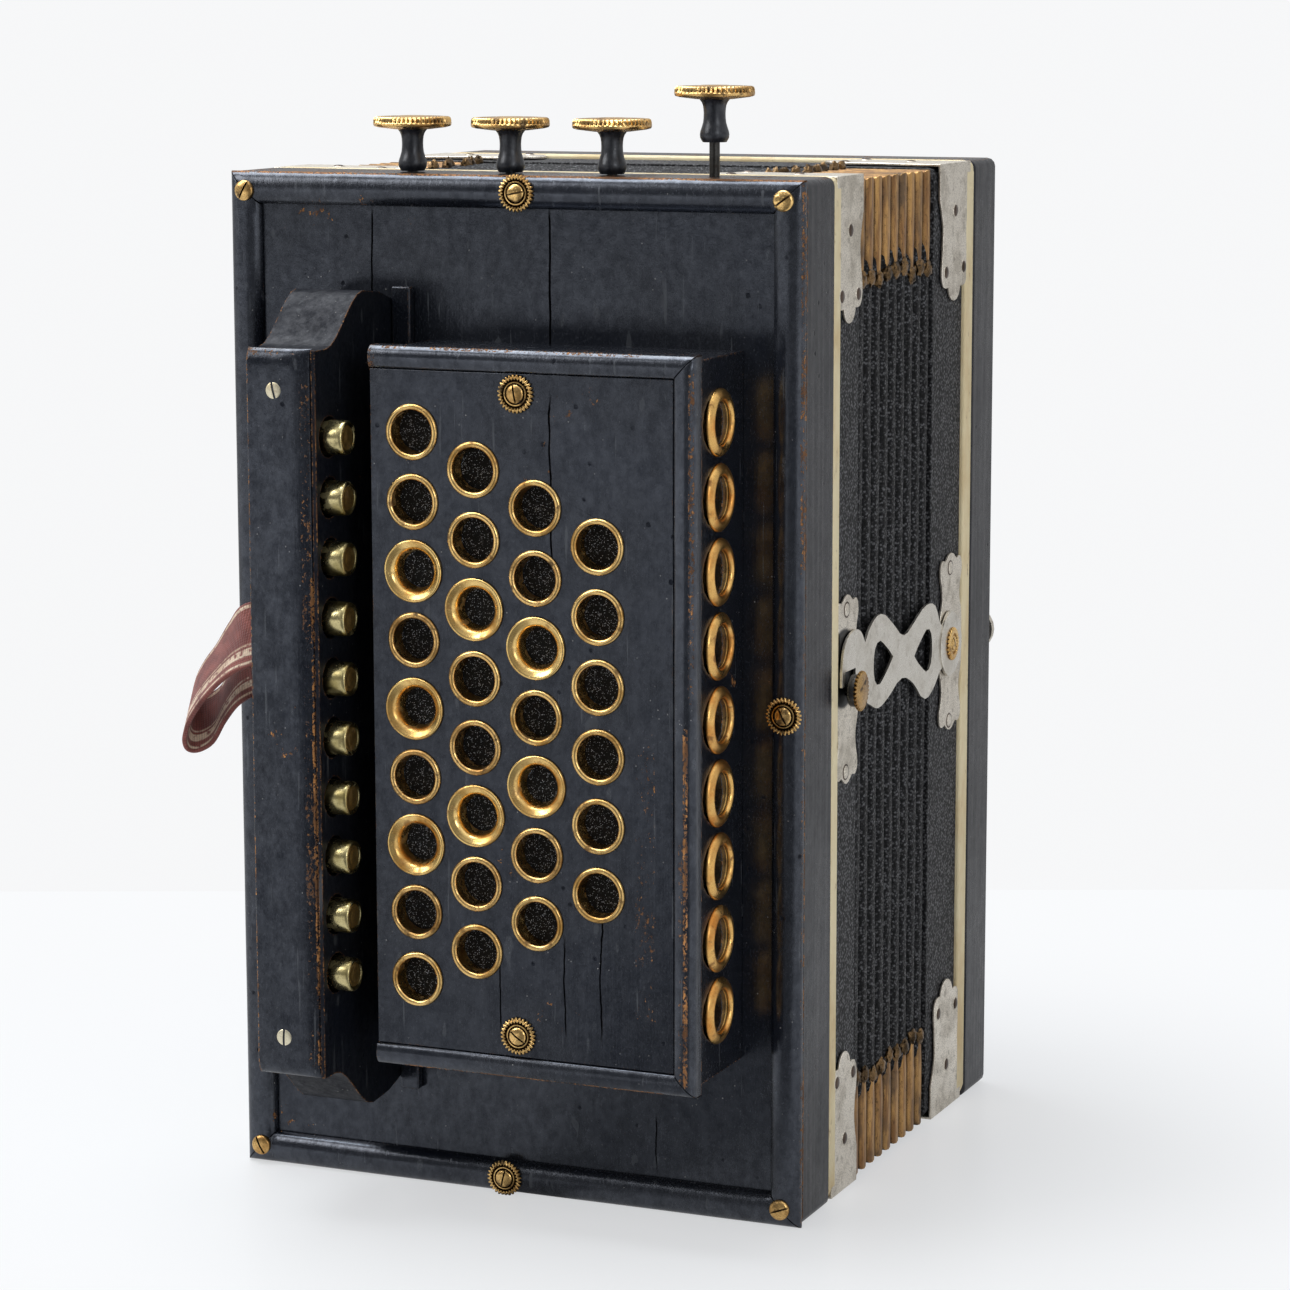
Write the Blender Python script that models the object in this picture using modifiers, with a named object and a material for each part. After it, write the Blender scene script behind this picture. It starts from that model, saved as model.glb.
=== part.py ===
"""One-row button accordion with four stops, modelled as separate solids.

Run it with blender --background --python part.py or from Blender's text editor.
Lengths are metres and +Z is up. The accordion stands on its short end on Z = 0.
The treble end faces -Y, the bass end faces +Y, and X runs across the case.
"""
import math

import bpy
import bmesh
from mathutils import Matrix, Vector

MM = 0.001

# Clearances
GAP = 0.3 * MM                  # between pieces that touch
RUNNING = 0.1 * MM              # round a shaft that turns or slides in a hole
STOP_CLEARANCE = 0.3 * MM       # round a stop's rod in the case
BUTTON_CLEARANCE = 0.9 * MM     # round a button, which swings a little as it sinks
OVERLAP = 0.2 * MM              # how far pieces that become one solid run into each other
THROUGH = 2 * MM                # how far a cutter runs past what it cuts

# Cases: the treble case is centred on the origin and the bass case lies behind it
CASE_WIDTH = 174 * MM
CASE_HEIGHT = 290 * MM
MIDDLE_Z = CASE_HEIGHT / 2
CASE_DEPTH = 20.9 * MM
CASE_WALL = 8 * MM
CASE_CORNER = 2.5 * MM
BASS_CASE_DEPTH = 21 * MM
COVER_THICKNESS = 5 * MM
MOULDING_WIDTH = 9.2 * MM
MOULDING_THICKNESS = 3.5 * MM
MOULDING_ROUND = 3.1 * MM

# Bellows, the frames that hold it and the seals between frames and cases
FRAME_INSET = 1.1 * MM
FRAME_FOOT = 2.3 * MM
FRAME_WALL = 9 * MM
TREBLE_SEAL_DEPTH = 5.2 * MM
BASS_SEAL_DEPTH = 7 * MM
TREBLE_FRAME_DEPTH = 17.2 * MM
BASS_FRAME_DEPTH = 26.4 * MM
BELLOWS_LENGTH = 63 * MM
BELLOWS_FOLDS = 9
FOLD_DEPTH = 13 * MM
RIDGE_ROUND = 0.9 * MM
BELLOWS_INSET = 1.6 * MM
BELLOWS_WALL = 1.2 * MM
RIDGE_CORNER = 2 * MM
VALLEY_CORNER = 6 * MM

# Fingerboard, measured out from the face of the cover
BOARD_WIDTH = 20.7 * MM
BOARD_RIGHT = -36.3 * MM
BOARD_CENTRE_Z = MIDDLE_Z - 1.9 * MM
BOARD_HALF_LENGTH = 101.2 * MM
BOARD_OUT = 48.4 * MM
BOARD_WALL_LEFT = 3.7 * MM
BOARD_WALL_RIGHT = 3 * MM
BOARD_END_WALL = 9 * MM
OGEE_RISE = 14.4 * MM
OGEE_FROM = 42 * MM
OGEE_TO = 19.5 * MM
OGEE_STEPS = 7
OGEE_DROP = 4 * MM
CAP_OUT = 49.5 * MM
CAP_THICKNESS = 2.9 * MM
CAP_WIDTH = 19.4 * MM
CAP_ROUND = 1.9 * MM
CAP_OVERHANG = 0.4 * MM
PLINTH_WIDTH = 5.8 * MM
PLINTH_HEIGHT = 2.9 * MM

# Treble keys
KEYS = 10
KEY_PITCH = 16.65 * MM
KEYS_CENTRE_Z = MIDDLE_Z + 0.4 * MM
BUTTON_RADIUS = 4.8 * MM
BUTTON_PROTRUSION = 6.1 * MM
BUTTON_OUT = 40.9 * MM
AXLE_RADIUS = 1.5 * MM
AXLE_X = -42.3 * MM
AXLE_OUT = 10.5 * MM
AXLE_SEAT = 4 * MM
HUB_RADIUS = 3.2 * MM
LEVER_WIDTH = 5 * MM
LEVER_THICKNESS = 2.5 * MM
PALLET_X = (-14 * MM, 12 * MM)
PALLET_WIDTH = 12.6 * MM
PALLET_THICKNESS = 5.8 * MM
PALLET_GAP = 0.1 * MM + GAP
SLOT_OUT = (6.5 * MM, 14 * MM)
SOUND_HOLE_MARGIN = 3 * MM
SOUND_HOLE_WIDTH = 9 * MM

# Grille box over the pallets
BOX_LEFT = -25 * MM
BOX_RIGHT = 68.8 * MM
BOX_Z = (MIDDLE_Z - 98.3 * MM, MIDDLE_Z + 98.9 * MM)
BOX_WALL = 8 * MM
BOX_OUT = 33.4 * MM
PANEL_THICKNESS = 4.5 * MM
GRILLE_MOULDING_WIDTH = 6 * MM
GRILLE_MOULDING_THICKNESS = 5.8 * MM
GRILLE_MOULDING_ROUND = 2.8 * MM
GRILLE_MOULDING_OVERHANG = 1.7 * MM

# Brass eyelets in the grille box
EYELET_ROWS = (9, 8, 7, 6)
EYELET_FIRST_X = -12.4 * MM
EYELET_SPACING_X = 18.25 * MM
EYELET_PITCH = 19 * MM
EYELET_CENTRE_Z = MIDDLE_Z + 1.4 * MM
EYELET_BORE = 5.8 * MM
EYELET_TUBE = 6.3 * MM
EYELET_FLANGE = 7.75 * MM
EYELET_LIP = 0.7 * MM
EYELET_SIDES = 10
SIDE_EYELETS = 9
SIDE_EYELET_PITCH = 20.2 * MM
SIDE_EYELET_CENTRE_Z = MIDDLE_Z + 0.4 * MM
SIDE_EYELET_OUT = 21.7 * MM
SIDE_EYELET_BORE = 6.4 * MM
SIDE_EYELET_TUBE = 6.9 * MM
SIDE_EYELET_FLANGE = 9.3 * MM
SIDE_EYELET_FLARE = 1.6 * MM
CLOTH_THICKNESS = 0.6 * MM
CLOTH_MARGIN = 0.3 * MM

# Stops on the top of the treble case
STOP_X = (-35.5 * MM, -5.2 * MM, 25.6 * MM, 56 * MM)
STOP_PULLED = (False, False, False, True)
STOP_TRAVEL = 9.1 * MM
STOP_STEM_HEIGHT = 12.2 * MM
STOP_STEM_RADIUS = 3.4 * MM
STOP_BULB_RADIUS = 4.35 * MM
STOP_ROD_RADIUS = 1.45 * MM
STOP_ROD_LENGTH = 24 * MM
STOP_CAP_RADIUS = 11.25 * MM
STOP_CAP_THICKNESS = 4 * MM
STOP_SLIDER = (20 * MM, 3 * MM, 4 * MM)

# Reed blocks
REED_BLOCK_X = (-16 * MM, 14 * MM)
REED_BLOCK_DEPTH = 31 * MM
REED_BLOCK_MARGIN = 6 * MM
REED_CHAMBER_DEPTH = 25 * MM
REED_CHAMBER_WIDTH = 12 * MM
BASS_REED_BLOCK_X = (-20 * MM, 20 * MM)
BASS_REED_BLOCK_Z = (MIDDLE_Z - 85 * MM, MIDDLE_Z + 85 * MM)
BASS_REED_BLOCK_DEPTH = 26 * MM
BASS_CHAMBERS = 6
BASS_CHAMBER_WIDTH = 18 * MM

# Metal corner plates on the bellows frames: half width at the fold, at the waist and at the lobes
PLATE_THICKNESS = 0.8 * MM
PLATE_DROP = 40 * MM
TREBLE_PLATE_HALF = (10.4 * MM, 8.3 * MM, 10 * MM)
BASS_PLATE_HALF = (13.8 * MM, 10.6 * MM, 11.6 * MM)
TREBLE_PLATE_FROM_CASE = 12.9 * MM
BASS_PLATE_FROM_CASE = 40.2 * MM + BELLOWS_LENGTH

# Latch on the right side, its middle height and the two points that it joins
LATCH_Z = MIDDLE_Z + 1.6 * MM
STUD_FROM_CASE = 12.2 * MM
PIVOT_FROM_CASE = 36.5 * MM + BELLOWS_LENGTH
STUD_NECK_RADIUS = 1.3 * MM
STUD_COLLAR_RADIUS = 4.6 * MM
STUD_HEAD_RADIUS = 5.7 * MM
STUD_COLLAR = 2.4 * MM
STUD_HEAD = 1.2 * MM
SHANK_DEPTH = 6 * MM
PIVOT_SHANK_RADIUS = 1.5 * MM
PIVOT_HEAD_RADIUS = 4.75 * MM
PIVOT_HEAD = 1.5 * MM
HOOK_DISC_RADIUS = 9.8 * MM
HOOK_LIFT = 4.4 * MM
LIP_WIDTH = 2.4 * MM
KEEPER_HALF = (8.6 * MM, 27 * MM)
LATCH_PLATE_HALF = (9.8 * MM, 27 * MM)

# Thumb strap on the left of the fingerboard
STRAP_THICKNESS = 1.4 * MM
STRAP_WIDTH = 19 * MM
STRAP_SEAT_GAP = 0.6 * MM

# Bass end: valve board, keys, air key and hand strap
PAN_THICKNESS = 4 * MM
BASS_KEY_Z = (MIDDLE_Z - 1.2 * MM, MIDDLE_Z - 23.2 * MM)
BASS_KEY_TIP_X = (CASE_WIDTH / 2 - 0.7 * MM, CASE_WIDTH / 2 - 2.7 * MM)
BASS_KEY_WIDTH = 7 * MM
BASS_KEY_PLATE = 2 * MM
BASS_KEY_RADIUS = 7 * MM
BASS_KEY_LIFT = 4.2 * MM
BASS_RISER_X = (65 * MM, 69 * MM)
BASS_SLOT_X = (62 * MM, 74 * MM)
BASS_SLOT_WIDTH = 11 * MM
BASS_AXLE_X = 35 * MM
BASS_AXLE_RADIUS = 1.2 * MM
BASS_AXLE_HEIGHT = 6 * MM
BASS_POST_WIDTH = 3 * MM
BASS_POST_X = (31 * MM, 39 * MM)
BASS_PALLET_X = (-7 * MM, 13 * MM)
BASS_PALLET_WIDTH = 16 * MM
BASS_PALLET_THICKNESS = 4.7 * MM
AIR_KEY_X = 25 * MM - CASE_WIDTH / 2
AIR_KEY_Z = MIDDLE_Z + 5 * MM
AIR_STEM_RADIUS = 2.5 * MM
AIR_BUTTON_RADIUS = 7 * MM
AIR_BUTTON_THICKNESS = 4 * MM
AIR_TRAVEL = 4 * MM
AIR_HOLE_RADIUS = 9 * MM
AIR_PALLET_RADIUS = 12 * MM
AIR_PALLET_THICKNESS = 3.7 * MM
HAND_STRAP_X = (-12 * MM, 28 * MM)
HAND_STRAP_THICKNESS = 2.5 * MM
HAND_STRAP_RISE = 27 * MM
HAND_STRAP_END = 18 * MM
HAND_STRAP_MARGIN = 14 * MM
HAND_STRAP_STEPS = 10

# Places that follow from the sizes
CASE_HALF = CASE_WIDTH / 2
CASE_FRONT = -CASE_DEPTH / 2
CASE_BACK = CASE_DEPTH / 2
INSIDE_HALF = CASE_HALF - CASE_WALL
COVER_BACK = CASE_FRONT + COVER_THICKNESS
SEAL_Y = (CASE_BACK + GAP, CASE_BACK + GAP + TREBLE_SEAL_DEPTH)
TREBLE_FRAME_Y = (SEAL_Y[1] + GAP, SEAL_Y[1] + GAP + TREBLE_FRAME_DEPTH)
BELLOWS_Y = (TREBLE_FRAME_Y[1] + GAP, TREBLE_FRAME_Y[1] + GAP + BELLOWS_LENGTH)
BASS_FRAME_Y = (BELLOWS_Y[1] + GAP, BELLOWS_Y[1] + GAP + BASS_FRAME_DEPTH)
BASS_SEAL_Y = (BASS_FRAME_Y[1] + GAP, BASS_FRAME_Y[1] + GAP + BASS_SEAL_DEPTH)
BASS_CASE_Y = (BASS_SEAL_Y[1] + GAP, BASS_SEAL_Y[1] + GAP + BASS_CASE_DEPTH)
PAN_Y = (BASS_CASE_Y[0] + GAP, BASS_CASE_Y[0] + GAP + PAN_THICKNESS)
BASS_COVER_Y = (BASS_CASE_Y[1] - COVER_THICKNESS - GAP, BASS_CASE_Y[1] - GAP)
FRAME_HALF = CASE_HALF - FRAME_INSET
FRAME_Z = (FRAME_FOOT, CASE_HEIGHT - FRAME_INSET)
INNER_X = (GAP - INSIDE_HALF, INSIDE_HALF - GAP)
INNER_Z = (CASE_WALL + GAP, CASE_HEIGHT - CASE_WALL - GAP)
KEY_Z = [KEYS_CENTRE_Z + KEY_PITCH * ((KEYS - 1) / 2 - i) for i in range(KEYS)]
SIDE_FACE = FRAME_HALF + GAP
HOOK_X = SIDE_FACE + PLATE_THICKNESS + GAP
HOOK_FACE = HOOK_X + PLATE_THICKNESS
STUD_Y = CASE_BACK + STUD_FROM_CASE
PIVOT_Y = CASE_BACK + PIVOT_FROM_CASE

# Turn a plate drawn in its own x and y into the plane that it stands in
FACING_FRONT = Matrix(((1, 0, 0, 0), (0, 0, -1, 0), (0, 1, 0, 0), (0, 0, 0, 1)))
FACING_SIDE = Matrix(((0, 0, 1, 0), (1, 0, 0, 0), (0, 1, 0, 0), (0, 0, 0, 1)))

# Turn a shape made along Z onto another axis
ALONG = {
    "X": Matrix.Rotation(math.pi / 2, 4, "Y"),
    "Y": Matrix.Rotation(-math.pi / 2, 4, "X"),
    "Z": Matrix.Identity(4),
}


def out(distance):
    """Return the Y of a place this far in front of the treble cover's foot plane."""
    return CASE_FRONT - GAP - distance


def clear_scene():
    """Remove what the file holds and make the two collections."""
    for old in list(bpy.data.objects):
        bpy.data.objects.remove(old)
    made = []
    for name in ("accordion", "cutters"):
        collection = bpy.data.collections.new(name)
        bpy.context.scene.collection.children.link(collection)
        made.append(collection)
    return made


PARTS, CUTTERS = clear_scene()


def make_material(name, colour, roughness, metallic=0.0):
    """Make a Principled material."""
    material = bpy.data.materials.new(name)
    material.use_nodes = True
    shader = material.node_tree.nodes["Principled BSDF"]
    shader.inputs["Base Color"].default_value = (*colour, 1)
    shader.inputs["Roughness"].default_value = roughness
    shader.inputs["Metallic"].default_value = metallic
    material.diffuse_color = (*colour, 1)
    return material


EBONISED = make_material("ebonised_wood", (0.045, 0.048, 0.055), 0.35)
BARE_WOOD = make_material("bare_wood", (0.55, 0.38, 0.22), 0.6)
BRASS = make_material("brass", (0.80, 0.60, 0.28), 0.3, 1.0)
NICKEL = make_material("nickel", (0.70, 0.69, 0.66), 0.35, 1.0)
STEEL = make_material("steel", (0.55, 0.55, 0.56), 0.35, 1.0)
BLACK_CLOTH = make_material("black_cloth", (0.035, 0.035, 0.04), 0.85)
SEAL_LEATHER = make_material("seal_leather", (0.80, 0.70, 0.50), 0.7)
WOVEN_STRAP = make_material("woven_strap", (0.32, 0.13, 0.12), 0.85)
BROWN_LEATHER = make_material("brown_leather", (0.20, 0.11, 0.06), 0.6)


def add_object(name, mesh, material=None):
    """Link a mesh as a part, or as a cutter when it has no material."""
    new = bpy.data.objects.new(name, mesh)
    if material is None:
        CUTTERS.objects.link(new)
        new.hide_render = True
        new.display_type = "WIRE"
        return new
    PARTS.objects.link(new)
    if not mesh.materials:
        mesh.materials.append(material)
    mesh.shade_smooth()
    mesh.set_sharp_from_angle(angle=math.radians(30))
    return new


def finish(name, shape, material=None):
    """Close a bmesh into an object."""
    bmesh.ops.recalc_face_normals(shape, faces=shape.faces)
    mesh = bpy.data.meshes.new(name)
    shape.to_mesh(mesh)
    shape.free()
    return add_object(name, mesh, material)


def block_shape(x, y, z):
    """Make a box from its (low, high) pairs."""
    shape = bmesh.new()
    size = Vector((x[1] - x[0], y[1] - y[0], z[1] - z[0]))
    centre = Vector((x[0] + x[1], y[0] + y[1], z[0] + z[1])) / 2
    matrix = Matrix.Translation(centre) @ Matrix.Diagonal((*size, 1))
    bmesh.ops.create_cube(shape, size=1, matrix=matrix)
    return shape


def block(name, x, y, z, material=None):
    """Make a box object."""
    return finish(name, block_shape(x, y, z), material)


def rod_shape(centre, radius, length, axis, sides=16):
    """Make a cylinder about its centre."""
    shape = bmesh.new()
    matrix = Matrix.Translation(centre) @ ALONG[axis]
    bmesh.ops.create_cone(
        shape, cap_ends=True, segments=sides, radius1=radius, radius2=radius, depth=length, matrix=matrix
    )
    return shape


def rod(name, centre, radius, length, axis, material=None, sides=16):
    """Make a cylinder object."""
    return finish(name, rod_shape(centre, radius, length, axis, sides), material)


def round_edges(shape, chosen, width, steps):
    """Round the edges that the test picks."""
    edges = [edge for edge in shape.edges if chosen(edge)]
    bmesh.ops.bevel(shape, geom=edges, offset=width, segments=steps, profile=0.5, affect="EDGES")


def is_corner(edge, degrees=30):
    """Tell whether the faces beside an edge meet at an angle."""
    return len(edge.link_faces) == 2 and edge.calc_face_angle() > math.radians(degrees)


def runs_along(edge, axis):
    """Tell whether an edge is parallel to X, Y or Z (axis 0, 1 or 2)."""
    step = edge.verts[0].co - edge.verts[1].co
    return abs(step[axis]) > step.length * 0.999


def lies_at(edge, axis, place):
    """Tell whether both ends of an edge are at this place on an axis."""
    return all(abs(vert.co[axis] - place) < 0.01 * MM for vert in edge.verts)


def weld(shape):
    """Join the points that lie together."""
    bmesh.ops.remove_doubles(shape, verts=shape.verts, dist=0.001 * MM)


def mesh_of(source):
    """Return the evaluated mesh of an object and remove the object."""
    bpy.context.view_layer.update()
    depsgraph = bpy.context.evaluated_depsgraph_get()
    mesh = bpy.data.meshes.new_from_object(source.evaluated_get(depsgraph))
    mesh.transform(source.matrix_world)
    bpy.data.objects.remove(source)
    return mesh


def outline_shape(outlines, thickness, smooth=False, steps=3):
    """Fill flat outlines, the first round the others, into a plate or, with no thickness, a face."""
    curve = bpy.data.curves.new("outline", "CURVE")
    curve.dimensions = "2D"
    curve.fill_mode = "BOTH" if thickness else "FRONT"
    curve.extrude = thickness / 2
    curve.resolution_u = steps
    for points in outlines:
        spline = curve.splines.new("BEZIER" if smooth else "POLY")
        places = spline.bezier_points if smooth else spline.points
        places.add(len(points) - 1)
        for place, point in zip(places, points):
            if smooth:
                place.co = (point[0], point[1], 0)
                place.handle_left_type = "AUTO" if len(point) == 2 else "VECTOR"
                place.handle_right_type = place.handle_left_type
            else:
                place.co = (point[0], point[1], 0, 1)
        spline.use_cyclic_u = True
    holder = bpy.data.objects.new("outline", curve)
    CUTTERS.objects.link(holder)
    mesh = mesh_of(holder)
    shape = bmesh.new()
    shape.from_mesh(mesh)
    weld(shape)
    return shape


def plate_shape(outlines, faces, plane, smooth=False):
    """Stand a filled outline between two places on the axis that its plane faces."""
    shape = outline_shape(outlines, faces[1] - faces[0], smooth)
    middle = (faces[0] + faces[1]) / 2
    shift = (0, middle, 0) if plane is FACING_FRONT else (middle, 0, 0)
    bmesh.ops.transform(shape, matrix=Matrix.Translation(shift) @ plane, verts=shape.verts)
    return shape


def rectangle(x, z):
    """Return the corners of a rectangle from its (low, high) pairs."""
    return [(x[0], z[0]), (x[1], z[0]), (x[1], z[1]), (x[0], z[1])]


def circle(centre, radius, sides):
    """Return the corners of a polygon round a centre."""
    turn = 2 * math.pi / sides
    return [
        (centre[0] + radius * math.cos(i * turn), centre[1] + radius * math.sin(i * turn))
        for i in range(sides)
    ]


def turned(name, profile, place, axis="Z", sides=20, material=None, closed=False):
    """Turn a profile of (radius, height) points, outer side from the top down, round an axis."""
    mesh = bpy.data.meshes.new(name)
    edges = [(i, i + 1) for i in range(len(profile) - 1)]
    if closed:
        edges.append((len(profile) - 1, 0))
    mesh.from_pydata([(radius, 0, height) for radius, height in profile], edges, [])
    new = bpy.data.objects.new(name, mesh)
    CUTTERS.objects.link(new)
    screw = new.modifiers.new("turn", "SCREW")
    screw.steps = sides
    screw.render_steps = sides
    screw.use_merge_vertices = True
    screw.merge_threshold = 0.001 * MM
    turned_mesh = mesh_of(new)
    shape = bmesh.new()
    shape.from_mesh(turned_mesh)
    bmesh.ops.transform(shape, matrix=Matrix.Translation(place) @ ALONG[axis], verts=shape.verts)
    return finish(name, shape, material)


def combine(target, other, operation):
    """Join another object to a part, or cut it out."""
    change = target.modifiers.new(other.name, "BOOLEAN")
    change.operation = operation
    change.object = other
    change.solver = "EXACT"


def join(target, *others):
    """Join cutter-collection shapes into one solid with the target."""
    for other in others:
        combine(target, other, "UNION")
    return target


def cut(target, *others):
    """Cut shapes out of the target."""
    for other in others:
        combine(target, other, "DIFFERENCE")
    return target


def set_origin(piece, place):
    """Move an object's origin without moving its shape."""
    piece.data.transform(Matrix.Translation(-Vector(place)))
    piece.location = place


def joint_empty(name, place):
    """Mark a joint's axis with an empty."""
    marker = bpy.data.objects.new(name, None)
    marker.empty_display_size = 0.02
    marker.location = place
    PARTS.objects.link(marker)
    return marker


def hang_on(marker, *pieces):
    """Parent pieces to a joint's empty and leave them where they are."""
    for piece in pieces:
        piece.parent = marker
        piece.matrix_parent_inverse = Matrix.Translation(-marker.location)


def rim(name, half, z, y, wall, corner, material):
    """Make a four-walled frame, open at the front and the back."""
    shape = block_shape((-half, half), y, z)
    round_edges(shape, lambda edge: runs_along(edge, 1), corner, 3)
    frame = finish(name, shape, material)
    opening = block(
        name + "_opening",
        (wall - half, half - wall),
        (y[0] - THROUGH, y[1] + THROUGH),
        (z[0] + wall, z[1] - wall),
    )
    return cut(frame, opening)


def strip_shape(centres, widths):
    """Lay a ribbon through centre points, each with the vector to its edge."""
    shape = bmesh.new()
    rows = []
    for centre, width in zip(centres, widths):
        rows.append((shape.verts.new(centre - width), shape.verts.new(centre + width)))
    for first, second in zip(rows, rows[1:]):
        shape.faces.new((first[0], second[0], second[1], first[1]))
    return shape


def thicken(piece, thickness, offset):
    """Give an open surface a thickness."""
    shell = piece.modifiers.new("thickness", "SOLIDIFY")
    shell.thickness = thickness
    shell.offset = offset
    shell.use_even_offset = True


def make_treble_case():
    """Build the treble rim, its front moulding and the board that carries the keys."""
    case = rim(
        "treble_case", CASE_HALF, (0, CASE_HEIGHT), (CASE_FRONT, CASE_BACK), CASE_WALL, CASE_CORNER, EBONISED
    )
    for number, x in enumerate(STOP_X, 1):
        hole = rod(
            f"stop_hole_{number}",
            (x, 0, CASE_HEIGHT - CASE_WALL / 2),
            STOP_ROD_RADIUS + STOP_CLEARANCE,
            CASE_WALL + 2 * THROUGH,
            "Z",
        )
        cut(case, hole)

    inner = CASE_HALF - MOULDING_WIDTH
    outlines = [
        rectangle((-CASE_HALF, CASE_HALF), (0, CASE_HEIGHT)),
        rectangle((-inner, inner), (MOULDING_WIDTH, CASE_HEIGHT - MOULDING_WIDTH)),
    ]
    front = CASE_FRONT - GAP - MOULDING_THICKNESS
    shape = plate_shape(outlines, (front, CASE_FRONT - GAP), FACING_FRONT)
    round_edges(shape, lambda edge: lies_at(edge, 1, front) and is_corner(edge), MOULDING_ROUND, 3)
    finish("treble_moulding", shape, EBONISED)

    sound_x = (PALLET_X[0] + SOUND_HOLE_MARGIN, PALLET_X[1] - SOUND_HOLE_MARGIN)
    outlines = [rectangle(INNER_X, INNER_Z)]
    for z in KEY_Z:
        outlines.append(rectangle(sound_x, (z - SOUND_HOLE_WIDTH / 2, z + SOUND_HOLE_WIDTH / 2)))
    shape = plate_shape(outlines, (CASE_FRONT, COVER_BACK), FACING_FRONT)
    finish("treble_cover", shape, EBONISED)


def ogee_height(distance):
    """Return how far the fingerboard's end has spread at a distance out from the cover."""
    if distance < OGEE_TO:
        return OGEE_RISE - OGEE_DROP * ((OGEE_TO - distance) / OGEE_TO) ** 2
    t = (OGEE_FROM - distance) / (OGEE_FROM - OGEE_TO)
    return OGEE_RISE * t * t * (3 - 2 * t)


def board_outline():
    """Return the fingerboard's side outline in Y and Z."""
    top = [(out(BOARD_OUT), BOARD_HALF_LENGTH)]
    for i in range(OGEE_STEPS + 1):
        distance = OGEE_FROM + (OGEE_TO - OGEE_FROM) * i / OGEE_STEPS
        top.append((out(distance), BOARD_HALF_LENGTH + ogee_height(distance)))
    for distance in (OGEE_TO / 2, 0):
        top.append((out(distance), BOARD_HALF_LENGTH + ogee_height(distance)))
    upper = [(y, BOARD_CENTRE_Z + z) for y, z in top]
    lower = [(y, BOARD_CENTRE_Z - z) for y, z in reversed(top)]
    return upper + lower


def make_fingerboard():
    """Build the hollow fingerboard with its cap and the strip beside its foot."""
    left = BOARD_RIGHT - BOARD_WIDTH
    board = finish(
        "fingerboard", plate_shape([board_outline()], (left, BOARD_RIGHT), FACING_SIDE), EBONISED
    )
    hollow_x = (left + BOARD_WALL_LEFT, BOARD_RIGHT - BOARD_WALL_RIGHT)
    ends = BOARD_HALF_LENGTH - BOARD_END_WALL
    hollow_z = (BOARD_CENTRE_Z - ends, BOARD_CENTRE_Z + ends)
    cap_x = (left - GAP, left - GAP + CAP_WIDTH)
    cap_z = BOARD_HALF_LENGTH + CAP_OVERHANG
    cut(
        board,
        block("board_hollow", hollow_x, (out(BOARD_OUT + THROUGH), out(-THROUGH)), hollow_z),
        block(
            "board_rebate",
            (left - THROUGH, cap_x[1] + GAP),
            (out(BOARD_OUT + THROUGH), out(CAP_OUT - CAP_THICKNESS - GAP)),
            (0, CASE_HEIGHT),
        ),
        block(
            "board_slot",
            (BOARD_RIGHT - BOARD_WALL_RIGHT - THROUGH, BOARD_RIGHT + THROUGH),
            (out(SLOT_OUT[1]), out(SLOT_OUT[0])),
            (hollow_z[0], hollow_z[1]),
        ),
        rod(
            "axle_seats",
            (AXLE_X, out(AXLE_OUT), BOARD_CENTRE_Z),
            AXLE_RADIUS + RUNNING,
            2 * (ends + AXLE_SEAT + GAP),
            "Z",
        ),
    )
    for number, z in enumerate(KEY_Z, 1):
        hole = rod(
            f"button_hole_{number}",
            (BOARD_RIGHT, out(BUTTON_OUT), z),
            BUTTON_RADIUS + BUTTON_CLEARANCE,
            2 * BOARD_WALL_RIGHT + 2 * THROUGH,
            "X",
        )
        cut(board, hole)

    front = out(CAP_OUT)
    shape = block_shape(
        cap_x, (front, out(CAP_OUT - CAP_THICKNESS)), (BOARD_CENTRE_Z - cap_z, BOARD_CENTRE_Z + cap_z)
    )
    round_edges(shape, lambda edge: lies_at(edge, 1, front), CAP_ROUND, 3)
    finish("fingerboard_cap", shape, EBONISED)

    block(
        "key_plinth",
        (BOARD_RIGHT + GAP, BOARD_RIGHT + GAP + PLINTH_WIDTH),
        (out(PLINTH_HEIGHT), out(0)),
        (BOARD_CENTRE_Z - BOARD_HALF_LENGTH - OGEE_RISE, BOARD_CENTRE_Z + BOARD_HALF_LENGTH + OGEE_RISE),
        EBONISED,
    )
    rod(
        "key_axle",
        (AXLE_X, out(AXLE_OUT), BOARD_CENTRE_Z),
        AXLE_RADIUS,
        2 * (ends + AXLE_SEAT),
        "Z",
        STEEL,
    )


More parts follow.
